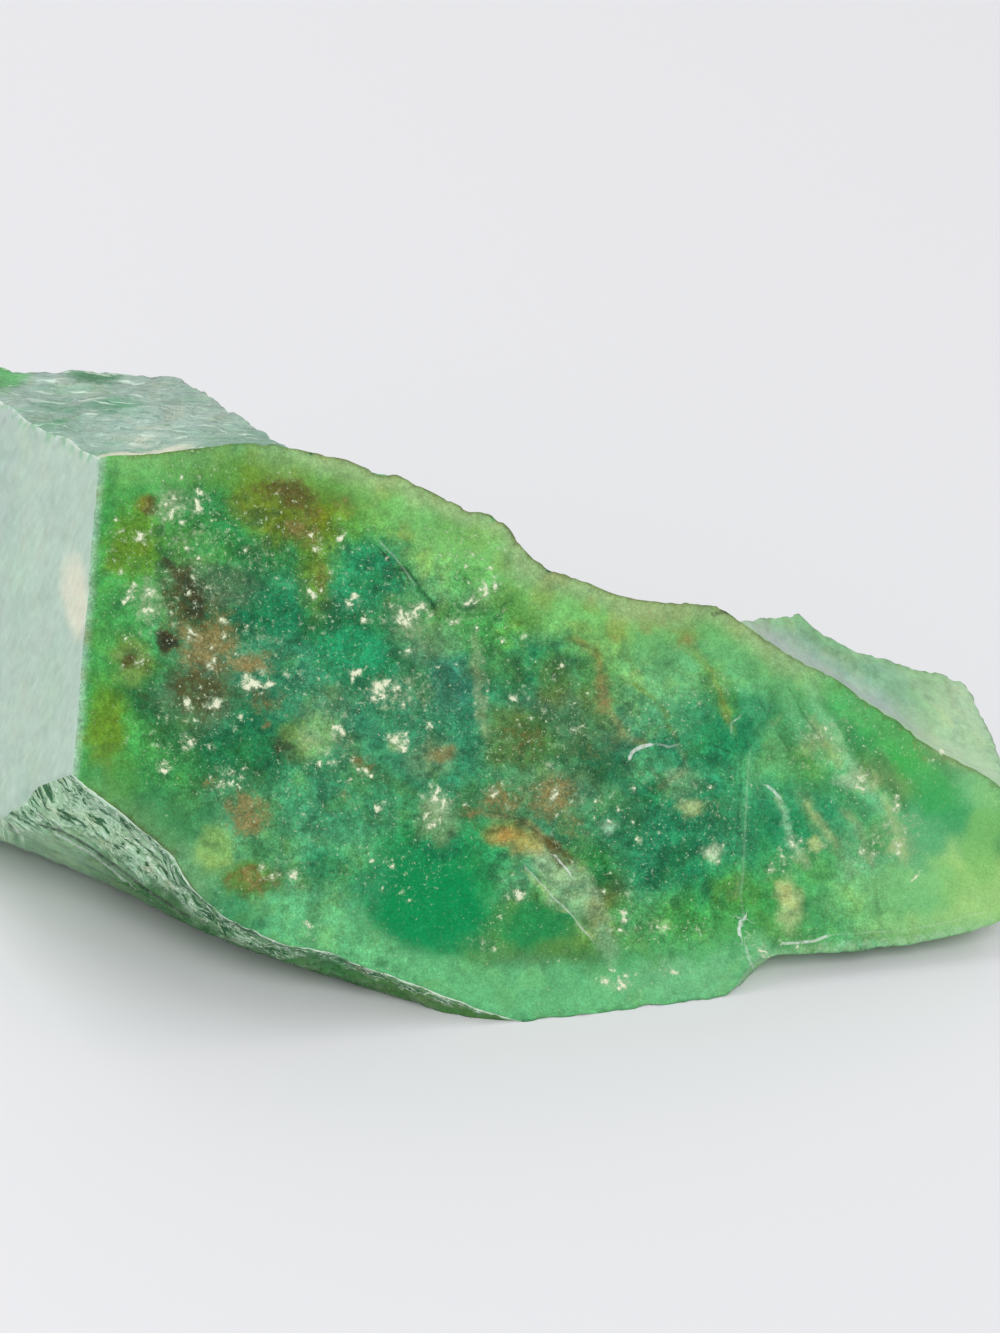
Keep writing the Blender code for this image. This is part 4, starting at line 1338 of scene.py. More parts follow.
# %% List the splashes
SPLASHES = [
    # Column, row, half width, half height, tilt, number of grains, half size
    (173, 506, 10, 10, 0, 20, 2.2),
    (200, 498, 11, 11, 0, 18, 2),
    (150, 515, 3, 3, 0, 1, 3),
    (145, 537, 9, 6, 0, 12, 2),
    (176, 541, 2, 2, 0, 1, 3.4),
    (187, 548, 3, 3, 0, 1, 2.2),
    (111, 551, 3, 3, 0, 1, 2.6),
    (152, 591, 3, 3, 0, 5, 3.4),
    (150, 611, 6, 4, 0, 6, 3.6),
    (130, 596, 4, 9, 0, 6, 2.2),
    (197, 603, 3, 3, 0, 2, 2.6),
    (190, 470, 30, 14, 0, 6, 1.7),
    (120, 530, 12, 16, 0, 6, 1.8),
    (192, 633, 4, 9, 0, 9, 1.7),
    (140, 662, 7, 6, 0, 6, 2.2),
    (212, 664, 9, 7, 0, 14, 2),
    (232, 656, 7, 3, 0, 6, 1.7),
    (249, 681, 6, 8, 0, 9, 3.4),
    (268, 684, 4, 7, -60, 6, 2.8),
    (262, 672, 3, 3, 0, 1, 3.4),
    (190, 706, 4, 12, 0, 10, 2.8),
    (212, 702, 7, 8, 30, 10, 2.8),
    (236, 717, 3, 2, 0, 5, 2.2),
    (185, 744, 7, 8, 0, 10, 2.5),
    (157, 745, 6, 3, 0, 5, 2),
    (166, 766, 7, 7, 0, 9, 2.2),
    (230, 778, 18, 9, -10, 18, 2),
    (285, 488, 18, 11, 0, 6, 1.7),
    (318, 548, 16, 9, -50, 15, 1.7),
    (340, 536, 6, 9, 0, 9, 1.7),
    (482, 593, 16, 9, 40, 20, 2.8),
    (404, 615, 13, 10, -40, 18, 2.5),
    (430, 614, 3, 4, 0, 1, 3.4),
    (452, 621, 11, 4, 10, 10, 2),
    (350, 605, 4, 8, 0, 9, 2.2),
    (310, 592, 4, 4, 0, 5, 2.5),
    (378, 686, 10, 7, -10, 18, 3),
    (355, 673, 6, 4, 0, 6, 2),
    (398, 686, 10, 3, 0, 9, 2),
    (409, 700, 6, 11, -70, 10, 2),
    (428, 726, 6, 3, 20, 6, 2.5),
    (400, 742, 10, 7, 0, 14, 2.5),
    (392, 737, 4, 3, 0, 5, 2),
    (340, 725, 11, 8, 30, 6, 2.8),
    (240, 740, 3, 3, 0, 1, 1.9),
    (382, 804, 11, 6, 0, 15, 1.7),
    (440, 806, 16, 16, 0, 15, 2.8),
    (432, 822, 7, 9, 0, 6, 2.5),
    (515, 895, 8, 8, 0, 9, 2.2),
    (500, 917, 3, 3, 0, 1, 3),
    (487, 942, 9, 9, 0, 9, 2),
    (622, 983, 12, 10, 0, 13, 3),
    (626, 925, 16, 18, 60, 16, 2.1),
    (657, 928, 15, 8, 0, 13, 2.4),
    (696, 931, 7, 7, -45, 4, 2.4),
    (672, 972, 9, 4, 0, 7, 2.4),
    (706, 787, 9, 4, 0, 7, 1.8),
    (728, 795, 3, 2, 0, 1, 2.2),
    (712, 855, 8, 8, 0, 9, 3),
    (642, 842, 4, 4, 0, 4, 2.6),
    (576, 728, 9, 6, -40, 10, 1.7),
    (515, 695, 6, 7, 0, 9, 1.7),
    (600, 805, 9, 9, 0, 9, 2),
    (560, 795, 16, 16, 0, 20, 1.7),
    (500, 790, 16, 11, 0, 14, 1.7),
    (817, 735, 11, 18, -60, 9, 2.6),
    (858, 780, 14, 8, -20, 14, 2.6),
    (892, 805, 7, 13, -60, 10, 2.4),
    (897, 846, 7, 6, 0, 9, 3.2),
    (870, 850, 9, 9, -40, 6, 2.6),
    (795, 845, 7, 13, -70, 9, 3.2),
    (783, 862, 9, 9, 0, 6, 3),
    (925, 760, 9, 7, 0, 4, 2.1),
    (935, 748, 16, 6, -30, 9, 2.4),
    (915, 870, 3, 7, 0, 3, 2.1),
    (278, 872, 13, 9, 0, 10, 2),
    (295, 876, 6, 4, 0, 5, 2.5),
    (308, 928, 3, 9, 0, 6, 2.2),
    (760, 955, 13, 11, 0, 10, 2.1),
    (800, 945, 22, 4, 5, 10, 1.7),
    (688, 700, 11, 9, 0, 4, 1.7),
    (722, 683, 7, 9, -60, 7, 1.7),
    (650, 715, 34, 22, 0, 10, 1.7),
    (330, 760, 16, 9, 0, 10, 1.7),
    (356, 770, 13, 7, -30, 10, 1.6),
    (210, 790, 13, 7, 0, 9, 2),
    (250, 545, 67, 45, 0, 21, 1.7),
    (370, 585, 45, 45, 0, 21, 1.7),
    (470, 560, 56, 34, -30, 21, 1.7),
    (330, 680, 67, 34, 0, 18, 1.7),
    (600, 860, 67, 45, 0, 20, 1.7),
    (860, 760, 67, 45, -30, 13, 1.7),
    (130, 600, 22, 67, 0, 18, 1.7),
    (200, 620, 45, 45, 0, 21, 1.7),
    (200, 560, 50, 40, 0, 16, 1.8),
    (260, 620, 50, 36, 0, 14, 1.8),
    (330, 600, 50, 30, -20, 12, 1.8),
    (430, 700, 50, 40, 0, 14, 1.8),
    (520, 760, 50, 40, -20, 12, 1.8),
    (480, 620, 50, 30, -30, 10, 1.8),
    (180, 720, 46, 36, 0, 14, 1.8),
    (300, 800, 60, 40, 0, 10, 1.8),
    (620, 860, 50, 40, 0, 10, 1.8),
    (700, 820, 50, 40, 0, 10, 1.8),
    (540, 700, 40, 40, 0, 10, 1.8),
    (400, 860, 50, 30, 0, 8, 1.8),
]
print(len(SPLASHES), "splashes")

# %% [markdown]
# ## Scattering the grains
#
# Each splash scatters its grains with a fixed seed. What is stored is not a
# colour but a smooth field, highest in the middle of a grain. The material cuts
# that field off at one level and adds fine noise to it, and so gives each grain
# a crisp and crumbly outline.

# %% Scatter the grains
GRAIN_SEED = 7
GRAIN_SPREAD = 0.6
GRAIN_REACH = 1.8
GRAIN_DEPTH = 1.5
RIGHT_SIDE = 4.0
RIGHT_LOSS = 0.12
rng = np.random.RandomState(GRAIN_SEED)


def grain_field():
    """The highest field of all grains at each point."""
    field = np.zeros(len(places))
    for column, row, half_width, half_height, tilt, count, size in SPLASHES:
        mark_side, mark_rise = on_card(column, row)
        turn = math.radians(tilt)
        for _ in range(count):
            a = rng.normal(0.0, GRAIN_SPREAD) * half_width * MM_PER_PIXEL
            b = rng.normal(0.0, GRAIN_SPREAD) * half_height * MM_PER_PIXEL
            if count == 1:
                a = b = 0.0
            grain_side = mark_side + (a * math.cos(turn) - b * math.sin(turn))
            grain_rise = mark_rise + (a * math.sin(turn) + b * math.cos(turn))
            reach = GRAIN_REACH * size * MM_PER_PIXEL * rng.uniform(0.5, 1.4)
            peak = rng.uniform(0.66, 1.1) - RIGHT_LOSS * (grain_side > RIGHT_SIDE)
            far = np.hypot(side - grain_side, rise - grain_rise) / reach
            field = np.maximum(field, np.clip(peak - far, 0.0, 1.0))
    return field * (depth_in < GRAIN_DEPTH)


grains = grain_field()
store(stone.data, "grains", grains)
grain_count = sum(splash[5] for splash in SPLASHES)
print("scattered", grain_count, "grains over", int((grains > 0.0).sum()), "points")

# %% [markdown]
# ## Iron stains and pale dust
#
# Iron seeped in along cracks and round pores and stained the green brown. A
# stain has a tone, from 0 for bark brown through umber and tan to 1 for rust,
# and a strength. Dust is clay too fine to see as grains. It lies in veils, which
# have only a strength.

# %% List the stains and veils
STAINS = [
    # Column, row, half width, half height, tilt, tone, strength
    (150, 508, 14, 12, 0, 0.3, 1.1),
    (288, 490, 36, 19, -15, 0.35, 1),
    (310, 512, 22, 14, -30, 0.45, 0.7),
    (188, 586, 15, 42, 22, 0.1, 1.05),
    (203, 640, 42, 42, -15, 0.6, 1.05),
    (180, 600, 26, 40, 15, 0.3, 0.7),
    (200, 690, 44, 34, 0, 0.2, 0.85),
    (252, 666, 28, 13, -5, 0.8, 0.9),
    (168, 640, 12, 15, 0, 0, 1),
    (168, 640, 8, 10, 0, 0, 1.7),
    (195, 610, 13, 15, 0, 0, 1.3),
    (172, 565, 13, 9, 0, 0, 1),
    (125, 662, 14, 9, 0, 0.2, 0.85),
    (285, 748, 17, 13, -20, 0, 0.85),
    (268, 722, 10, 9, 0, 0.5, 0.7),
    (248, 815, 30, 26, -10, 0.62, 0.9),
    (256, 882, 36, 26, 0, 0.45, 0.75),
    (252, 880, 8, 11, 0, 0.95, 0.9),
    (360, 765, 24, 13, -30, 0.45, 0.65),
    (505, 800, 34, 24, 10, 0.6, 0.75),
    (552, 798, 30, 24, 30, 0.65, 0.85),
    (560, 850, 20, 11, -50, 0.3, 0.8),
    (602, 690, 14, 40, 0, 0.7, 0.6),
    (520, 740, 44, 30, -20, 0.4, 0.6),
    (608, 640, 18, 22, -60, 0.75, 0.35),
    (655, 625, 20, 18, 0, 0.75, 0.5),
    (690, 642, 18, 16, -30, 0.75, 0.5),
    (720, 613, 18, 5, 0, 0, 0.8),
    (325, 575, 16, 40, 0, 0.5, 0.5),
    (135, 545, 24, 34, 0, 0.4, 0.35),
    (300, 535, 30, 22, -30, 0.6, 0.6),
    (340, 505, 30, 16, -30, 0.5, 0.5),
    (212, 785, 14, 8, 0, 0.6, 0.7),
    (345, 800, 14, 8, 0, 0.6, 0.5),
    (445, 752, 14, 8, 0, 0.5, 0.6),
    (475, 815, 20, 10, 0, 0.6, 0.7),
    (690, 812, 22, 10, 0, 0.7, 0.35),
    (925, 750, 26, 12, -30, 0.75, 0.4),
    (890, 778, 40, 16, -28, 0.6, 0.3),
    (740, 890, 10, 18, 0, 0.75, 0.5),
    (600, 748, 30, 30, 0, 0.5, 0.4),
    (570, 822, 26, 18, -40, 0.55, 0.5),
    (110, 760, 14, 30, 0, 0.5, 0.4),
    (150, 700, 30, 20, 0, 0.1, 0.4),
    (265, 700, 30, 20, 0, 0.5, 0.6),
]
VEILS = [
    # Column, row, half width, half height, tilt, strength
    (175, 505, 32, 24, 0, 0.95),
    (196, 645, 26, 24, 0, 0.7),
    (240, 662, 30, 12, -5, 0.6),
    (237, 600, 12, 14, 0, 0.7),
    (265, 640, 26, 12, -10, 0.6),
    (330, 738, 12, 16, 0, 0.6),
    (118, 500, 18, 14, 0, 0.4),
    (120, 580, 14, 22, 0, 0.45),
    (320, 620, 20, 12, 0, 0.45),
    (290, 705, 40, 16, 0, 0.45),
    (205, 582, 60, 26, -12, 0.5),
    (150, 600, 26, 36, 0, 0.9),
    (255, 560, 40, 20, -10, 0.6),
    (190, 540, 40, 20, 0, 0.6),
    (255, 640, 50, 24, 0, 0.5),
    (410, 625, 26, 40, 30, 0.8),
    (455, 618, 26, 14, 0, 0.6),
    (400, 690, 50, 26, -10, 0.7),
    (330, 740, 34, 24, 0, 0.7),
    (480, 690, 14, 60, 4, 0.7),
    (440, 803, 20, 20, 0, 0.9),
    (420, 735, 26, 18, 0, 0.5),
    (560, 740, 60, 36, 0, 0.5),
    (555, 800, 46, 30, 0, 0.6),
    (574, 912, 15, 54, 30, 0.5),
    (690, 805, 46, 20, 0, 0.6),
    (640, 775, 30, 26, 0, 0.5),
    (820, 740, 26, 50, -60, 0.6),
    (860, 780, 34, 18, -20, 0.8),
    (895, 830, 20, 44, -60, 0.8),
    (800, 850, 26, 40, -60, 0.6),
    (850, 850, 50, 36, -20, 0.5),
    (230, 775, 34, 14, 0, 0.6),
    (300, 870, 30, 24, 0, 0.5),
    (620, 985, 30, 16, 0, 0.6),
    (630, 925, 40, 22, 0, 0.5),
    (360, 610, 20, 26, 0, 0.4),
    (520, 690, 24, 26, 0, 0.4),
    (310, 590, 24, 30, 0, 0.4),
    (690, 700, 60, 40, 0, 0.3),
    (800, 710, 50, 30, -30, 0.35),
    (270, 500, 40, 22, 0, 0.25),
]
print(len(STAINS), "stains and", len(VEILS), "veils")

# %% [markdown]
# ## Spreading crumbs, stains and dust
#
# Three more fields say how thickly crumbs lie, how strong the iron stain is,
# and how much pale dust lies in the stone. Where stains overlap, the stronger
# one has more say in the tone. Far from the front, where no mark reaches, each
# field follows broad noise.

# %% Spread crumbs, stains and dust
CRUMB_SPREAD = 13
MARK_DEPTH = 3.0
BARE_TONE = 0.4
BARE_WEIGHT = 0.02


def crumb_field():
    """How thickly crumbs lie: around the splashes, and here and there elsewhere."""
    field = 0.16 + 0.45 * wander(places, 0.35, 31) - 0.10 * step(side, 12.0, 20.0)
    for column, row, half_width, half_height, tilt, _, _ in SPLASHES:
        far = oval(column, row, half_width + CRUMB_SPREAD, half_height + CRUMB_SPREAD, tilt, 0.5)
        field = np.maximum(field, 0.62 * step(far, 1.7, 0.4) * (depth_in < MARK_DEPTH))
    return np.clip(field, 0.0, 1.0)


def stain_fields():
    """How strong the iron stain is at each point, and its tone from bark to rust."""
    field = 0.55 * step(wander(places, 0.28, 41), 0.25, 0.6) * (1.0 - near_front)
    tone_sum = np.full(len(places), BARE_TONE * BARE_WEIGHT)
    weight = np.full(len(places), BARE_WEIGHT)
    for *place, tone, strength in STAINS:
        here = strength * step(oval(*place, 0.6), 1.5, 0.1) * (depth_in < MARK_DEPTH)
        field = np.maximum(field, here)
        tone_sum += tone * here**2
        weight += here**2
    return field, tone_sum / weight


def veil_field():
    """How much pale dust lies in the stone at each point."""
    field = 0.5 * step(wander(places, 0.22, 43), 0.1, 0.6) * (1.0 - near_front)
    for *place, strength in VEILS:
        here = strength * step(oval(*place, 0.8), 1.6, 0.1)
        field = np.maximum(field, here * (depth_in < MARK_DEPTH))
    return field


store(stone.data, "crumbs", crumb_field())
stain, stain_tone = stain_fields()
store(stone.data, "stain", stain)
store(stone.data, "stain_tone", stain_tone)
store(stone.data, "veil", veil_field())
print("spread", len(STAINS), "stains and", len(VEILS), "veils of dust")

# %% [markdown]
# ## Finish of each kind of surface
#
# Milkiness is how scratched and pale a surface is. Roughness is low on breaks,
# which shine as if wet, and higher on the sawn faces. Three masks say which
# fine patterns a face has. All of these belong to the kind of surface, so they
# are kept for each corner, like the colours.

# %% Store milkiness, roughness and masks
MILKY = {"left": 1.0, "top": 0.8, "shelf": 0.6, "undercut": 0.6}
ROUGH = {"front": 0.42, "left": 0.34, "top": 0.24, "undercut": 0.17, "shelf": 0.30, "bevel": 0.25}
OTHER_ROUGH = 0.30


def by_kind(values, other=0.0):
    """One number for every face corner, by the kind of its face."""
    result = np.full(len(kinds), other)
    for name, value in values.items():
        result[kinds == KINDS.index(name)] = value
    return result


corners, kinds = corner_values(stone.data)
finishes = {
    "milky": by_kind(MILKY),
    "rough": by_kind(ROUGH, OTHER_ROUGH),
    "ridged": by_kind({"undercut": 1.0}) * ridged[corners],
    "scratched": by_kind({"left": 1.0}),
    "rippled": by_kind({"top": 1.0}),
}
for name, values in finishes.items():
    store(stone.data, name, values, "CORNER")
print("stored", list(finishes), "for", len(kinds), "corners")

# %% [markdown]
# ## Clouds
#
# Clouds a few millimetres wide make the colour darker and lighter, and drifts
# of bluer, browner, yellower and inky green cross them. Broad noise is worked
# out here, once for each point, and fine noise is added in the material. The
# mottle says how cloudy the colour is at all: the emerald lens, the right end
# and the edges of the front are clearer than the rest.

# %% Store the clouds and drifts
CLEAR_AREAS = [
    # Place, half sizes and tilt, then how clear it is
    (427, 905, 77, 58, -12, 0.8),
    (537, 928, 50, 33, 0, 0.7),
    (977, 885, 92, 92, 0, 0.8),
    (627, 985, 250, 50, 3, 0.55),
    (840, 800, 110, 130, -40, 0.4),
    (945, 810, 70, 56, -35, 0.65),
    (710, 680, 110, 62, -25, 0.35),
]
DRIFT_NAMES = ("bluer", "browner", "yellower", "inky")
DRIFT_SCALE = 0.45
DRIFT_SEED = 61
BROAD_CLOUDS = 0.24
SMALL_CLOUDS = 0.40


def layered(scale, seed, layers=3, gain=0.6):
    """Smooth noise with finer and weaker noise on it, between about -1 and 1."""
    total = np.zeros(len(places))
    for number in range(layers):
        total += gain**number * wander(places, scale * 2**number, seed + number)
    return 1.4 * total


def mottle_field():
    """How cloudy the colour is at each point."""
    field = np.ones(len(places))
    for *place, amount in CLEAR_AREAS:
        field *= 1.0 - amount * step(oval(*place), *SOFT_EDGE) * near_front
    field *= 1.0 - 0.60 * step(side + loose, 18.0, 22.0) * near_front
    field *= 1.0 - 0.35 * step(front_gap + loose, 4.5, 2.0) * near_front
    return field * (1.0 - 0.40 * step(crest_gap + loose, 4.0, 1.0))


clouds = BROAD_CLOUDS * layered(0.28, 51, 2) + SMALL_CLOUDS * layered(0.85, 55, gain=0.85)
store(stone.data, "mottle", mottle_field())
store(stone.data, "cloud", clouds)
for number, name in enumerate(DRIFT_NAMES):
    store(stone.data, name, layered(DRIFT_SCALE + 0.15 * number, DRIFT_SEED + 4 * number))
print("clouds from", round(clouds.min(), 2), "to", round(clouds.max(), 2))

# %% [markdown]
# ## Thin lines
#
# Cracks, pale veins, and the painted highlights and painted shade along chipped
# edges and grooves are thinner than the spacing of the points, so they can't be
# painted point by point. A signed distance can: it grows evenly from one side of
# a line to the other, and the material finds where it crosses 0. Each line has
# its run of pixels, a half width and a strength.

# %% Store the thin lines
THIN_WOBBLE = 0.12
LINE_DEPTH = 6.0
END_FADE = 0.4
# Most bright lines are painted highlights on chipped edges, on the small shell chip and on the
# undercut's ridges; the upright fissure, the diagonal crack and the short streak by the dark groove are
# pale veins.
LIT_EDGES_AND_PALE_VEINS = [
    ([(829, 936), (860, 934), (900, 930), (940, 924), (985, 912)], 1.2, 0.15),
    ([(750, 752), (747, 790), (744, 840), (742, 890), (744, 925)], 1.2, 0.12),
    ([(746, 948), (749, 958), (753, 968)], 1.3, 0.45),
    ([(630, 757), (634, 751), (642, 747), (651, 745)], 1.8, 0.95),
    ([(656, 744), (666, 747), (676, 745)], 1.3, 0.3),
    ([(556, 856), (563, 864), (570, 874)], 1, 0.9),
    ([(731, 731), (732, 723), (740, 716)], 1, 0.3),
    ([(767, 786), (773, 789), (779, 797)], 1.5, 0.75),
    ([(740, 936), (739, 929), (742, 921), (745, 917)], 2, 1),
    ([(784, 944), (800, 943), (815, 941), (829, 936)], 1.5, 0.8),
    ([(527, 868), (563, 906), (591, 939)], 1, 0.45),
    ([(0, 823), (30, 828), (60, 836), (95, 856), (140, 894), (180, 921)], 1.6, 0.55),
    ([(0, 852), (40, 864), (75, 872), (110, 898), (150, 918)], 1.3, 0.35),
    ([(380, 541), (400, 562), (414, 583)], 1.1, 0.25),
]
# The first three dark lines are painted shade, in the undercut's groove, just below the front's lower
# edge and under the ledge of the shell chip; the rest are dark cracks and streaks.
CRACKS_AND_SHADE_LINES = [
    ([(0, 818), (30, 822), (60, 830), (95, 850), (145, 889), (190, 918)], 1.6, 0.85),
    ([(88, 802), (116, 818), (148, 850), (168, 874)], 1.1, 0.5),
    ([(626, 764), (634, 777), (646, 787), (658, 795)], 1.8, 0.5),
    ([(742, 752), (740, 790), (737, 840), (735, 890)], 1.4, 0.3),
    ([(380, 548), (393, 566), (404, 584)], 1.5, 0.5),
    ([(404, 566), (420, 586), (434, 606)], 1.8, 0.55),
    ([(486, 812), (520, 820), (545, 838), (560, 850)], 1.5, 0.45),
    ([(758, 700), (776, 730), (790, 752)], 1.5, 0.3),
    ([(790, 690), (806, 718), (822, 740)], 1.5, 0.3),
    ([(700, 742), (722, 748), (740, 758)], 1.4, 0.35),
]


def store_lines(mesh, name, lines):
    """Keep a signed distance to the nearest thin line, its half width, and its strength."""
    across = np.full(len(places), FAR)
    width = np.full(len(places), 0.1)
    share = np.zeros(len(places))
    for pixels, half_width, strength in lines:
        gap, past = line_gap(pixels, THIN_WOBBLE)
        half = half_width * MM_PER_PIXEL
        closer = np.abs(gap) < np.abs(across)
        across = np.where(closer, gap, across)
        width = np.where(closer, half, width)
        near = step(np.abs(gap), 3.0 * half + 0.6, 3.0 * half + 0.3) * step(past, END_FADE, 0.0)
        share = np.where(closer, strength * near * (depth_in < LINE_DEPTH), share)
    store(mesh, name + "_across", across)
    store(mesh, name + "_width", width)
    store(mesh, name + "_share", share)


store_lines(stone.data, "bright", LIT_EDGES_AND_PALE_VEINS)
store_lines(stone.data, "dark", CRACKS_AND_SHADE_LINES)
print("stored", len(LIT_EDGES_AND_PALE_VEINS), "bright and", len(CRACKS_AND_SHADE_LINES), "dark lines")

# %% [markdown]
# ## The material
#
# The shader starts from the painted colour and adds what is too fine to paint.
# It could all be one long chain of nodes, but short functions are easier to
# read: each takes a colour and gives it back with one more thing in it. All the
# patterns read Object coordinates in millimetres, so they are solid, and run
# through the stone as real ones do.

# %% Helpers for colours in a material
def painted(name):
    """A palette colour as a shader takes it."""
    return (*PALETTE[name], 1.0)


def mixed(kit, share, a, b):
    """Colour a changed towards colour b."""
    node = kit.add("ShaderNodeMix", data_type="RGBA", blend_type="MIX", clamp_factor=True)
    for index, value in ((0, share), (6, a), (7, b)):
        if isinstance(value, bpy.types.NodeSocket):
            kit.tree.links.new(value, node.inputs[index])
        else:
            node.inputs[index].default_value = value
    return node.outputs[2]


def stored(kit, name, output="Fac"):
    """The value of a mesh attribute."""
    return kit.add("ShaderNodeAttribute", attribute_name=name).outputs[output]


print("a crumb is", [round(float(value), 2) for value in painted("crumb")[:3]])

# %% [markdown]
# ## Clouds and grain in the material
#
# The fine grain of chalcedony looks like packed sugar. Two noises make it, and
# the stored clouds and drifts get ragged borders from a third. The result makes
# the colour brighter or darker by a power of two, so that it is never negative.

# %% Clouds, drifts and grain
DRIFT_TINTS = [
    ("bluer", 0.4, (0.6, 0.92, 1.06)),
    ("browner", 0.4, (1.6, 0.94, 0.6)),
    ("yellower", 0.3, (1.3, 1.08, 0.85)),
]
BRIGHTEST_GAIN = 1.7


def clouded(kit, colour, amount, grain, sugar, ragged):
    """The painted colour with clouds, sugary grain, and drifts of other greens."""
    for name, share, tint in DRIFT_TINTS:
        mask = kit.smooth(kit.math("MULTIPLY_ADD", ragged, 0.22, stored(kit, name)), 0.10, 0.75)
        share = kit.math("MULTIPLY", kit.math("MULTIPLY", mask, share), amount)
        colour = mixed(kit, share, colour, kit.vector("MULTIPLY", colour, tint))
    octaves = kit.math("MULTIPLY_ADD", grain, 0.34, stored(kit, "cloud"))
    octaves = kit.math("MULTIPLY", octaves, amount)
    fine = kit.math("MULTIPLY_ADD", grain, 0.28, kit.math("MULTIPLY", sugar, 0.62))
    fine = kit.math("MULTIPLY", fine, kit.math("MULTIPLY_ADD", amount, 0.70, 0.34))
    fine = kit.math("MULTIPLY", fine, kit.math("MULTIPLY_ADD", stored(kit, "milky"), -0.85, 1.0))
    gain = kit.math("POWER", 2.0, kit.math("ADD", octaves, fine))
    colour = kit.scaled(colour, kit.math("MINIMUM", gain, BRIGHTEST_GAIN))
    inky = kit.math("MULTIPLY_ADD", ragged, 0.35, stored(kit, "inky"))
    dark = kit.smooth(inky, 0.25, 0.95, 0.0, 0.50)
    return mixed(kit, kit.math("MULTIPLY", dark, amount), colour, painted("shade"))


print("drifts:", [name for name, _, _ in DRIFT_TINTS])

# %% [markdown]
# ## Dust and stains in the material
#
# Dust and stain are stored as smooth fields. Fine noise is added to each before
# it is cut off, and so its borders crumble. The stain's tone runs from bark
# brown through umber and tan to rust.

# %% Dust and stains
def dusty(kit, colour, ragged, clear):
    """Veils of pale dust, broken up by fine noise, and fine dust nearly everywhere."""
    dust = kit.math("MULTIPLY_ADD", ragged, 0.55, stored(kit, "veil"))
    share = kit.math("MULTIPLY", kit.smooth(dust, 0.40, 1.18, 0.0, 0.76), clear)
    tone = kit.smooth(ragged, -0.1, 0.9)
    return mixed(kit, share, colour, mixed(kit, tone, painted("sage"), painted("crumb")))


def stained(kit, place, colour, ragged, clear, sugar):
    """Iron stains: a stored field and tone, both broken up by fine noise."""
    other = kit.vector("ADD", place, (5.0, 31.0, -17.0))
    patchy = kit.swing(other, 1.6, 5.0, 0.8)
    tone = kit.math("MULTIPLY_ADD", patchy, 0.22, stored(kit, "stain_tone"))
    brown = mixed(kit, kit.smooth(tone, 0.0, 0.4), painted("bark"), painted("umber"))
    brown = mixed(kit, kit.smooth(tone, 0.35, 0.75), brown, painted("tan"))
    brown = mixed(kit, kit.smooth(tone, 0.85, 1.1), brown, painted("rust"))
    shade = kit.math("MULTIPLY_ADD", sugar, 0.5, kit.math("MULTIPLY", ragged, 0.7))
    brown = kit.scaled(brown, kit.math("POWER", 2.0, shade))
    field = kit.math("MULTIPLY_ADD", ragged, -0.40, stored(kit, "stain"))
    field = kit.math("MULTIPLY_ADD", patchy, 0.45, field)
    field = kit.math("MULTIPLY_ADD", sugar, 0.20, field)
    share = kit.smooth(stored(kit, "stain"), 0.0, 0.6, 0.0, 0.85)
    share = kit.math("MULTIPLY", kit.smooth(field, 0.15, 1.05), share)
    return mixed(kit, kit.math("MULTIPLY", share, clear), colour, brown)


print("stain colours:", ("bark", "umber", "tan", "rust"))

# %% [markdown]
# ## Specks in the material
#
# Crumbs are the cells of a Voronoi pattern: a share of the cells holds a soft
# dot, the size and brightness of which are the cell's own. Flecks are the peaks
# of a fine noise. Grains come from their stored field, and each has a faint
# halo of dust round it.

# %% Flecks, crumbs and grains
CRUMB_LAYERS = [
    # Cells per mm, size, share of the cells that hold a crumb, and strength
    (3.6, 0.34, 0.18, 0.55),
    (1.7, 0.20, 0.13, 0.75),
]


def crumbs_at(kit, place, scale, size, density):
    """Soft dots of uneven brightness, in only a share of the cells of a scattered pattern."""
    cells = kit.add("ShaderNodeTexVoronoi", {"Vector": place, "Scale": scale})
    chances = kit.add("ShaderNodeSeparateColor", {0: cells.outputs["Color"]}).outputs
    keep = kit.math("LESS_THAN", chances[0], density)
    radius = kit.math("MULTIPLY_ADD", chances[1], 0.6 * size, 0.5 * size)
    inside = kit.math("SUBTRACT", 1.0, kit.math("DIVIDE", cells.outputs["Distance"], radius))
    dot = kit.smooth(inside, 0.0, 0.6)
    brightness = kit.math("MULTIPLY_ADD", chances[2], 0.8, 0.2)
    return kit.math("MULTIPLY", kit.math("MULTIPLY", keep, dot), brightness)


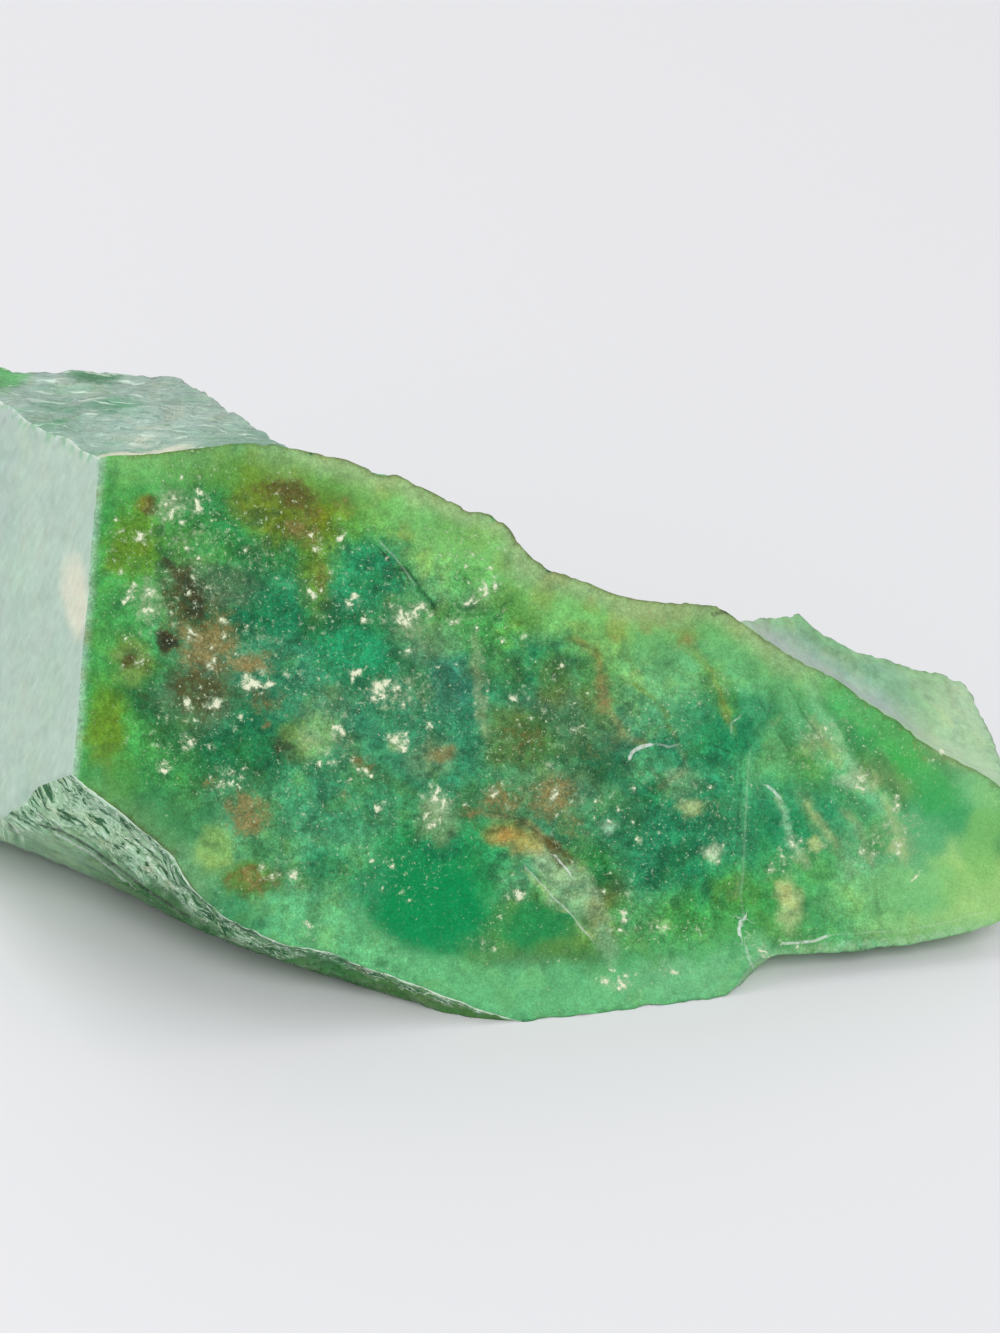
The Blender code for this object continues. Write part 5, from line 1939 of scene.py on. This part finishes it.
def speckled(kit, place, colour, clear, tone):
    """Pale grains with crumbly outlines, and flecks and crumbs around them."""
    thick = kit.math("MULTIPLY", stored(kit, "crumbs"), clear)
    fleck = kit.noise(place, 4.0, 4.0, 0.8)
    fleck = kit.smooth(kit.math("MULTIPLY_ADD", thick, 0.105, fleck), 0.660, 0.715)
    fleck = kit.math("MULTIPLY", kit.math("MULTIPLY", fleck, clear), 0.75)
    colour = mixed(kit, fleck, colour, painted("crumb"))
    for scale, size, share, strength in CRUMB_LAYERS:
        dots = crumbs_at(kit, place, scale, size, kit.math("MULTIPLY", thick, share))
        colour = mixed(kit, kit.math("MULTIPLY", dots, strength), colour, painted("crumb"))
    other = kit.vector("ADD", place, (13.0, -7.0, 3.0))
    dots = crumbs_at(kit, other, 2.2, 0.22, kit.math("MULTIPLY", stored(kit, "mottle"), 0.10))
    dots = kit.math("MULTIPLY", kit.math("MULTIPLY", dots, clear), 0.5)
    colour = mixed(kit, dots, colour, painted("shade"))
    crumble = kit.swing(place, 5.0, 4.0, 0.8)
    field = kit.math("MULTIPLY_ADD", crumble, 0.45, stored(kit, "grains"))
    halo = kit.smooth(field, 0.10, 0.60, 0.0, 0.5)
    body = kit.smooth(field, 0.48, 0.66, 0.0, 0.97)
    grain_colour = mixed(kit, kit.smooth(tone, -0.7, 0.0), painted("clay"), painted("opal"))
    return mixed(kit, body, mixed(kit, halo, colour, painted("crumb")), grain_colour)


print("crumbs lie in", len(CRUMB_LAYERS), "sizes")

# %% [markdown]
# ## Lines and ridges in the material
#
# A line is drawn where its stored distance is less than its half width. Ragged
# noise makes it fainter here and there. Under the front fine ridges follow the
# edge, and on the top ripples run along X. Both get painted shade in their
# grooves and painted highlights on their crests, and give back their height for
# the bump. A painted highlight runs along the front's lower edge, with a band of
# painted shade just behind it.

# %% Lines, ridges and ripples
def lined(kit, colour, ragged):
    """Thin cracks and pale veins, and painted highlights and shade along chipped edges and grooves, from
    their stored signed distances.
    """
    for name, tint in (("dark", "ink"), ("bright", "glint")):
        gap = kit.math("ABSOLUTE", stored(kit, name + "_across"))
        line = kit.smooth(kit.math("DIVIDE", gap, stored(kit, name + "_width")), 1.3, 0.5)
        unbroken = kit.smooth(ragged, -0.6, 0.5, 0.35, 1.0)
        share = kit.math("MULTIPLY", stored(kit, name + "_share"), unbroken)
        colour = mixed(kit, kit.math("MULTIPLY", line, share), colour, painted(tint))
    return colour


def combed(kit, place, colour):
    """The colour with painted shade and highlights on the fine ridges under the front and the ripples on
    top, and their height.
    """
    parts_of_place = kit.add("ShaderNodeSeparateXYZ", {0: place}).outputs
    flow = {"X": kit.math("MULTIPLY", parts_of_place[0], 0.75)}
    flow["Y"] = kit.math("MULTIPLY", stored(kit, "front_gap"), 2.0)
    flow = kit.add("ShaderNodeCombineXYZ", flow).outputs[0]
    ridge = kit.math("ABSOLUTE", kit.swing(flow, 1.0, 3.0, 0.55, 1.1))
    wave_place = kit.vector("MULTIPLY", place, (0.30, 1.9, 1.9))
    wave = kit.math("ABSOLUTE", kit.swing(wave_place, 1.0, 3.0, 0.5, 0.6))
    under = stored(kit, "ridged")
    over = stored(kit, "rippled")
    height = kit.math("MULTIPLY_ADD", wave, over, kit.math("MULTIPLY", ridge, under))
    where = kit.math("ADD", under, over)
    # dark is painted shade in the grooves, light painted highlights on the crests
    dark = kit.math("MULTIPLY", kit.smooth(ridge, 0.24, 0.54), under)
    dark = kit.math("MULTIPLY_ADD", kit.smooth(wave, 0.09, 0.0), kit.math("MULTIPLY", over, 0.45), dark)
    light = kit.math("MULTIPLY", kit.smooth(ridge, 0.10, 0.01), under)
    light = kit.math("MULTIPLY_ADD", kit.smooth(wave, 0.40, 0.8), kit.math("MULTIPLY", over, 0.6), light)
    # rim is a painted highlight along the front's lower edge, and the groove band is painted shade just
    # behind it
    gap = stored(kit, "front_gap")
    rim = kit.math("MULTIPLY", kit.smooth(gap, 0.22, 0.08), under)
    groove_shade = kit.math("MULTIPLY", kit.smooth(gap, 0.25, 0.45), kit.smooth(gap, 1.0, 0.6))
    groove_shade = kit.math("MULTIPLY", kit.math("MULTIPLY", groove_shade, under), 0.6)
    dark = kit.math("MAXIMUM", kit.math("MULTIPLY", dark, 0.95), groove_shade)
    colour = mixed(kit, dark, colour, painted("fern"))
    light = kit.math("MULTIPLY", kit.math("MAXIMUM", light, rim), 0.9)
    return mixed(kit, light, colour, painted("crest")), kit.math("MULTIPLY", height, where)


print("lines in", ("ink", "glint"), "and ridges in", ("fern", "crest"))

# %% [markdown]
# ## The two materials
#
# Both materials are the same stone. The one on the breaks also has the ridges,
# the ripples and the scratches, and more shine. The waxy look of the sawn front
# comes from its medium roughness and weak shine. A real stone lets some light
# in as well, but that light would not be kept when the colours are baked for
# other programs, so the painted colours have its glow in them.

# %% Build the chrysoprase
FRONT_SHINE = 0.07
BREAK_SHINE = 0.38
CHALCEDONY_IOR = 1.54
BUMP_STRENGTH = 0.35
BUMP_HEIGHT = 0.02 * MM
RIDGE_BUMP = -7.0
SCRATCH_STRETCH = (2.6, 2.6, 0.25)
SCRATCH_SHARE = 0.15


def scratched(kit, place, colour):
    """The colour with upright scratches, on the sawn left end."""
    streak = kit.swing(kit.vector("MULTIPLY", place, SCRATCH_STRETCH), 1.0, 4.0, 0.65)
    streak = kit.math("MULTIPLY", kit.math("MULTIPLY", streak, SCRATCH_SHARE), stored(kit, "scratched"))
    return kit.scaled(colour, kit.math("POWER", 2.0, streak))


def build_material(material, shine, is_break):
    """Fill in the node tree of one of the stone's two materials."""
    tree = material.node_tree
    kit = Nodes(tree)
    shader = tree.nodes["Principled BSDF"]
    place = kit.scaled(kit.add("ShaderNodeTexCoord").outputs["Object"], 1.0 / MM)
    clear = kit.math("SUBTRACT", 1.0, stored(kit, "milky"))
    amount = kit.math("MULTIPLY", stored(kit, "mottle"), kit.math("MULTIPLY_ADD", clear, 0.85, 0.15))
    grain = kit.swing(place, 2.2, 4.0, 0.7)
    sugar = kit.swing(place, 7.4, 2.0, 0.7)
    ragged = kit.swing(kit.vector("ADD", place, (-9.0, 4.0, 23.0)), 2.6, 5.0, 0.8)
    colour = clouded(kit, stored(kit, "body_colour", "Color"), amount, grain, sugar, ragged)
    colour = dusty(kit, colour, ragged, clear)
    colour = stained(kit, place, colour, ragged, clear, sugar)
    colour = speckled(kit, place, colour, clear, ragged)
    height = kit.math("MULTIPLY_ADD", sugar, 0.4, kit.math("MULTIPLY", grain, 0.6))
    if is_break:
        colour, ridges = combed(kit, place, colour)
        height = kit.math("MULTIPLY_ADD", ridges, RIDGE_BUMP, height)
        colour = scratched(kit, place, colour)
    colour = lined(kit, colour, ragged)
    tree.links.new(colour, shader.inputs["Base Color"])
    unevenness = kit.math("MULTIPLY_ADD", grain, 0.05, stored(kit, "rough"))
    tree.links.new(kit.math("MAXIMUM", unevenness, 0.05), shader.inputs["Roughness"])
    shader.inputs["IOR"].default_value = CHALCEDONY_IOR
    shader.inputs["Specular IOR Level"].default_value = shine
    settings = {"Height": height, "Strength": BUMP_STRENGTH, "Distance": BUMP_HEIGHT}
    bump = kit.add("ShaderNodeBump", settings)
    tree.links.new(bump.outputs[0], shader.inputs["Normal"])
    return len(tree.nodes)


print("front material nodes:", build_material(sawn_front, FRONT_SHINE, False))
print("break material nodes:", build_material(broken_stone, BREAK_SHINE, True))

# %% [markdown]
# ## Set the stone in the frame
#
# The finished mesh rides on the packed solid's body and stands for it. MuJoCo
# keeps the packed solid for contact.

# %% Fasten the stone to the frame
stone.name = "chrysoprase"
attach(stone, "root")
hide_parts(NODE)
triangles = sum(len(face.vertices) - 2 for face in stone.data.polygons)
print("triangles:", triangles)

# %% [markdown]
# ## Floor
#
# A plain pale floor runs out of sight. It is satin, so it picks up a faint
# reflection, and it belongs to the stage, not to the stone.

# %% Floor
FLOOR_REACH = 3.0
FLOOR_COLOUR = (0.72, 0.72, 0.735, 1.0)
FLOOR_ROUGHNESS = 0.35


def add_floor():
    """A flat square floor at the height the stone stands on."""
    mesh = bpy.data.meshes.new("floor")
    half = FLOOR_REACH / 2
    corners = [(-half, -half, 0.0), (half, -half, 0.0), (half, half, 0.0), (-half, half, 0.0)]
    mesh.from_pydata(corners, [], [(0, 1, 2, 3)])
    material = bpy.data.materials.new("floor")
    material.use_nodes = True
    shader = material.node_tree.nodes["Principled BSDF"]
    shader.inputs["Base Color"].default_value = FLOOR_COLOUR
    shader.inputs["Roughness"].default_value = FLOOR_ROUGHNESS
    mesh.materials.append(material)
    floor = bpy.data.objects.new("floor", mesh)
    bpy.context.scene.collection.objects.link(floor)


add_floor()
print("floor:", FLOOR_REACH, "m across")

# %% [markdown]
# ## World and lamps
#
# The world is an even, near-white glow, like a light tent. On its own it would
# make every face look flat, so two large soft lamps add a slight difference in
# brightness between the faces.

# %% World and lamps
WORLD_COLOUR = (0.93, 0.93, 0.95, 1.0)
WORLD_STRENGTH = 0.755
LAMPS = [
    # Name, place in m, width in m, and power in W
    ("window", (-0.35, 0.30, 0.60), 0.45, 1.6),
    ("front", (0.10, -0.40, 0.62), 0.35, 1.8),
]


def add_lamp(name, place, size, power):
    """A square soft lamp aimed at the stone."""
    data = bpy.data.lights.new(name, "AREA")
    data.shape = "SQUARE"
    data.size = size
    data.energy = power
    lamp = bpy.data.objects.new(name, data)
    lamp.location = place
    lamp.rotation_euler = (-Vector(place)).to_track_quat("-Z", "Y").to_euler()
    bpy.context.scene.collection.objects.link(lamp)


world = bpy.data.worlds.new("light_tent")
world.use_nodes = True
background = world.node_tree.nodes["Background"]
background.inputs["Color"].default_value = WORLD_COLOUR
background.inputs["Strength"].default_value = WORLD_STRENGTH
bpy.context.scene.world = world
for lamp in LAMPS:
    add_lamp(*lamp)
bpy.context.scene.view_settings.view_transform = "Standard"

# %% [markdown]
# ## The finished size
#
# Relief only went inwards, so the finished stone has to fit the packed solid's
# box.
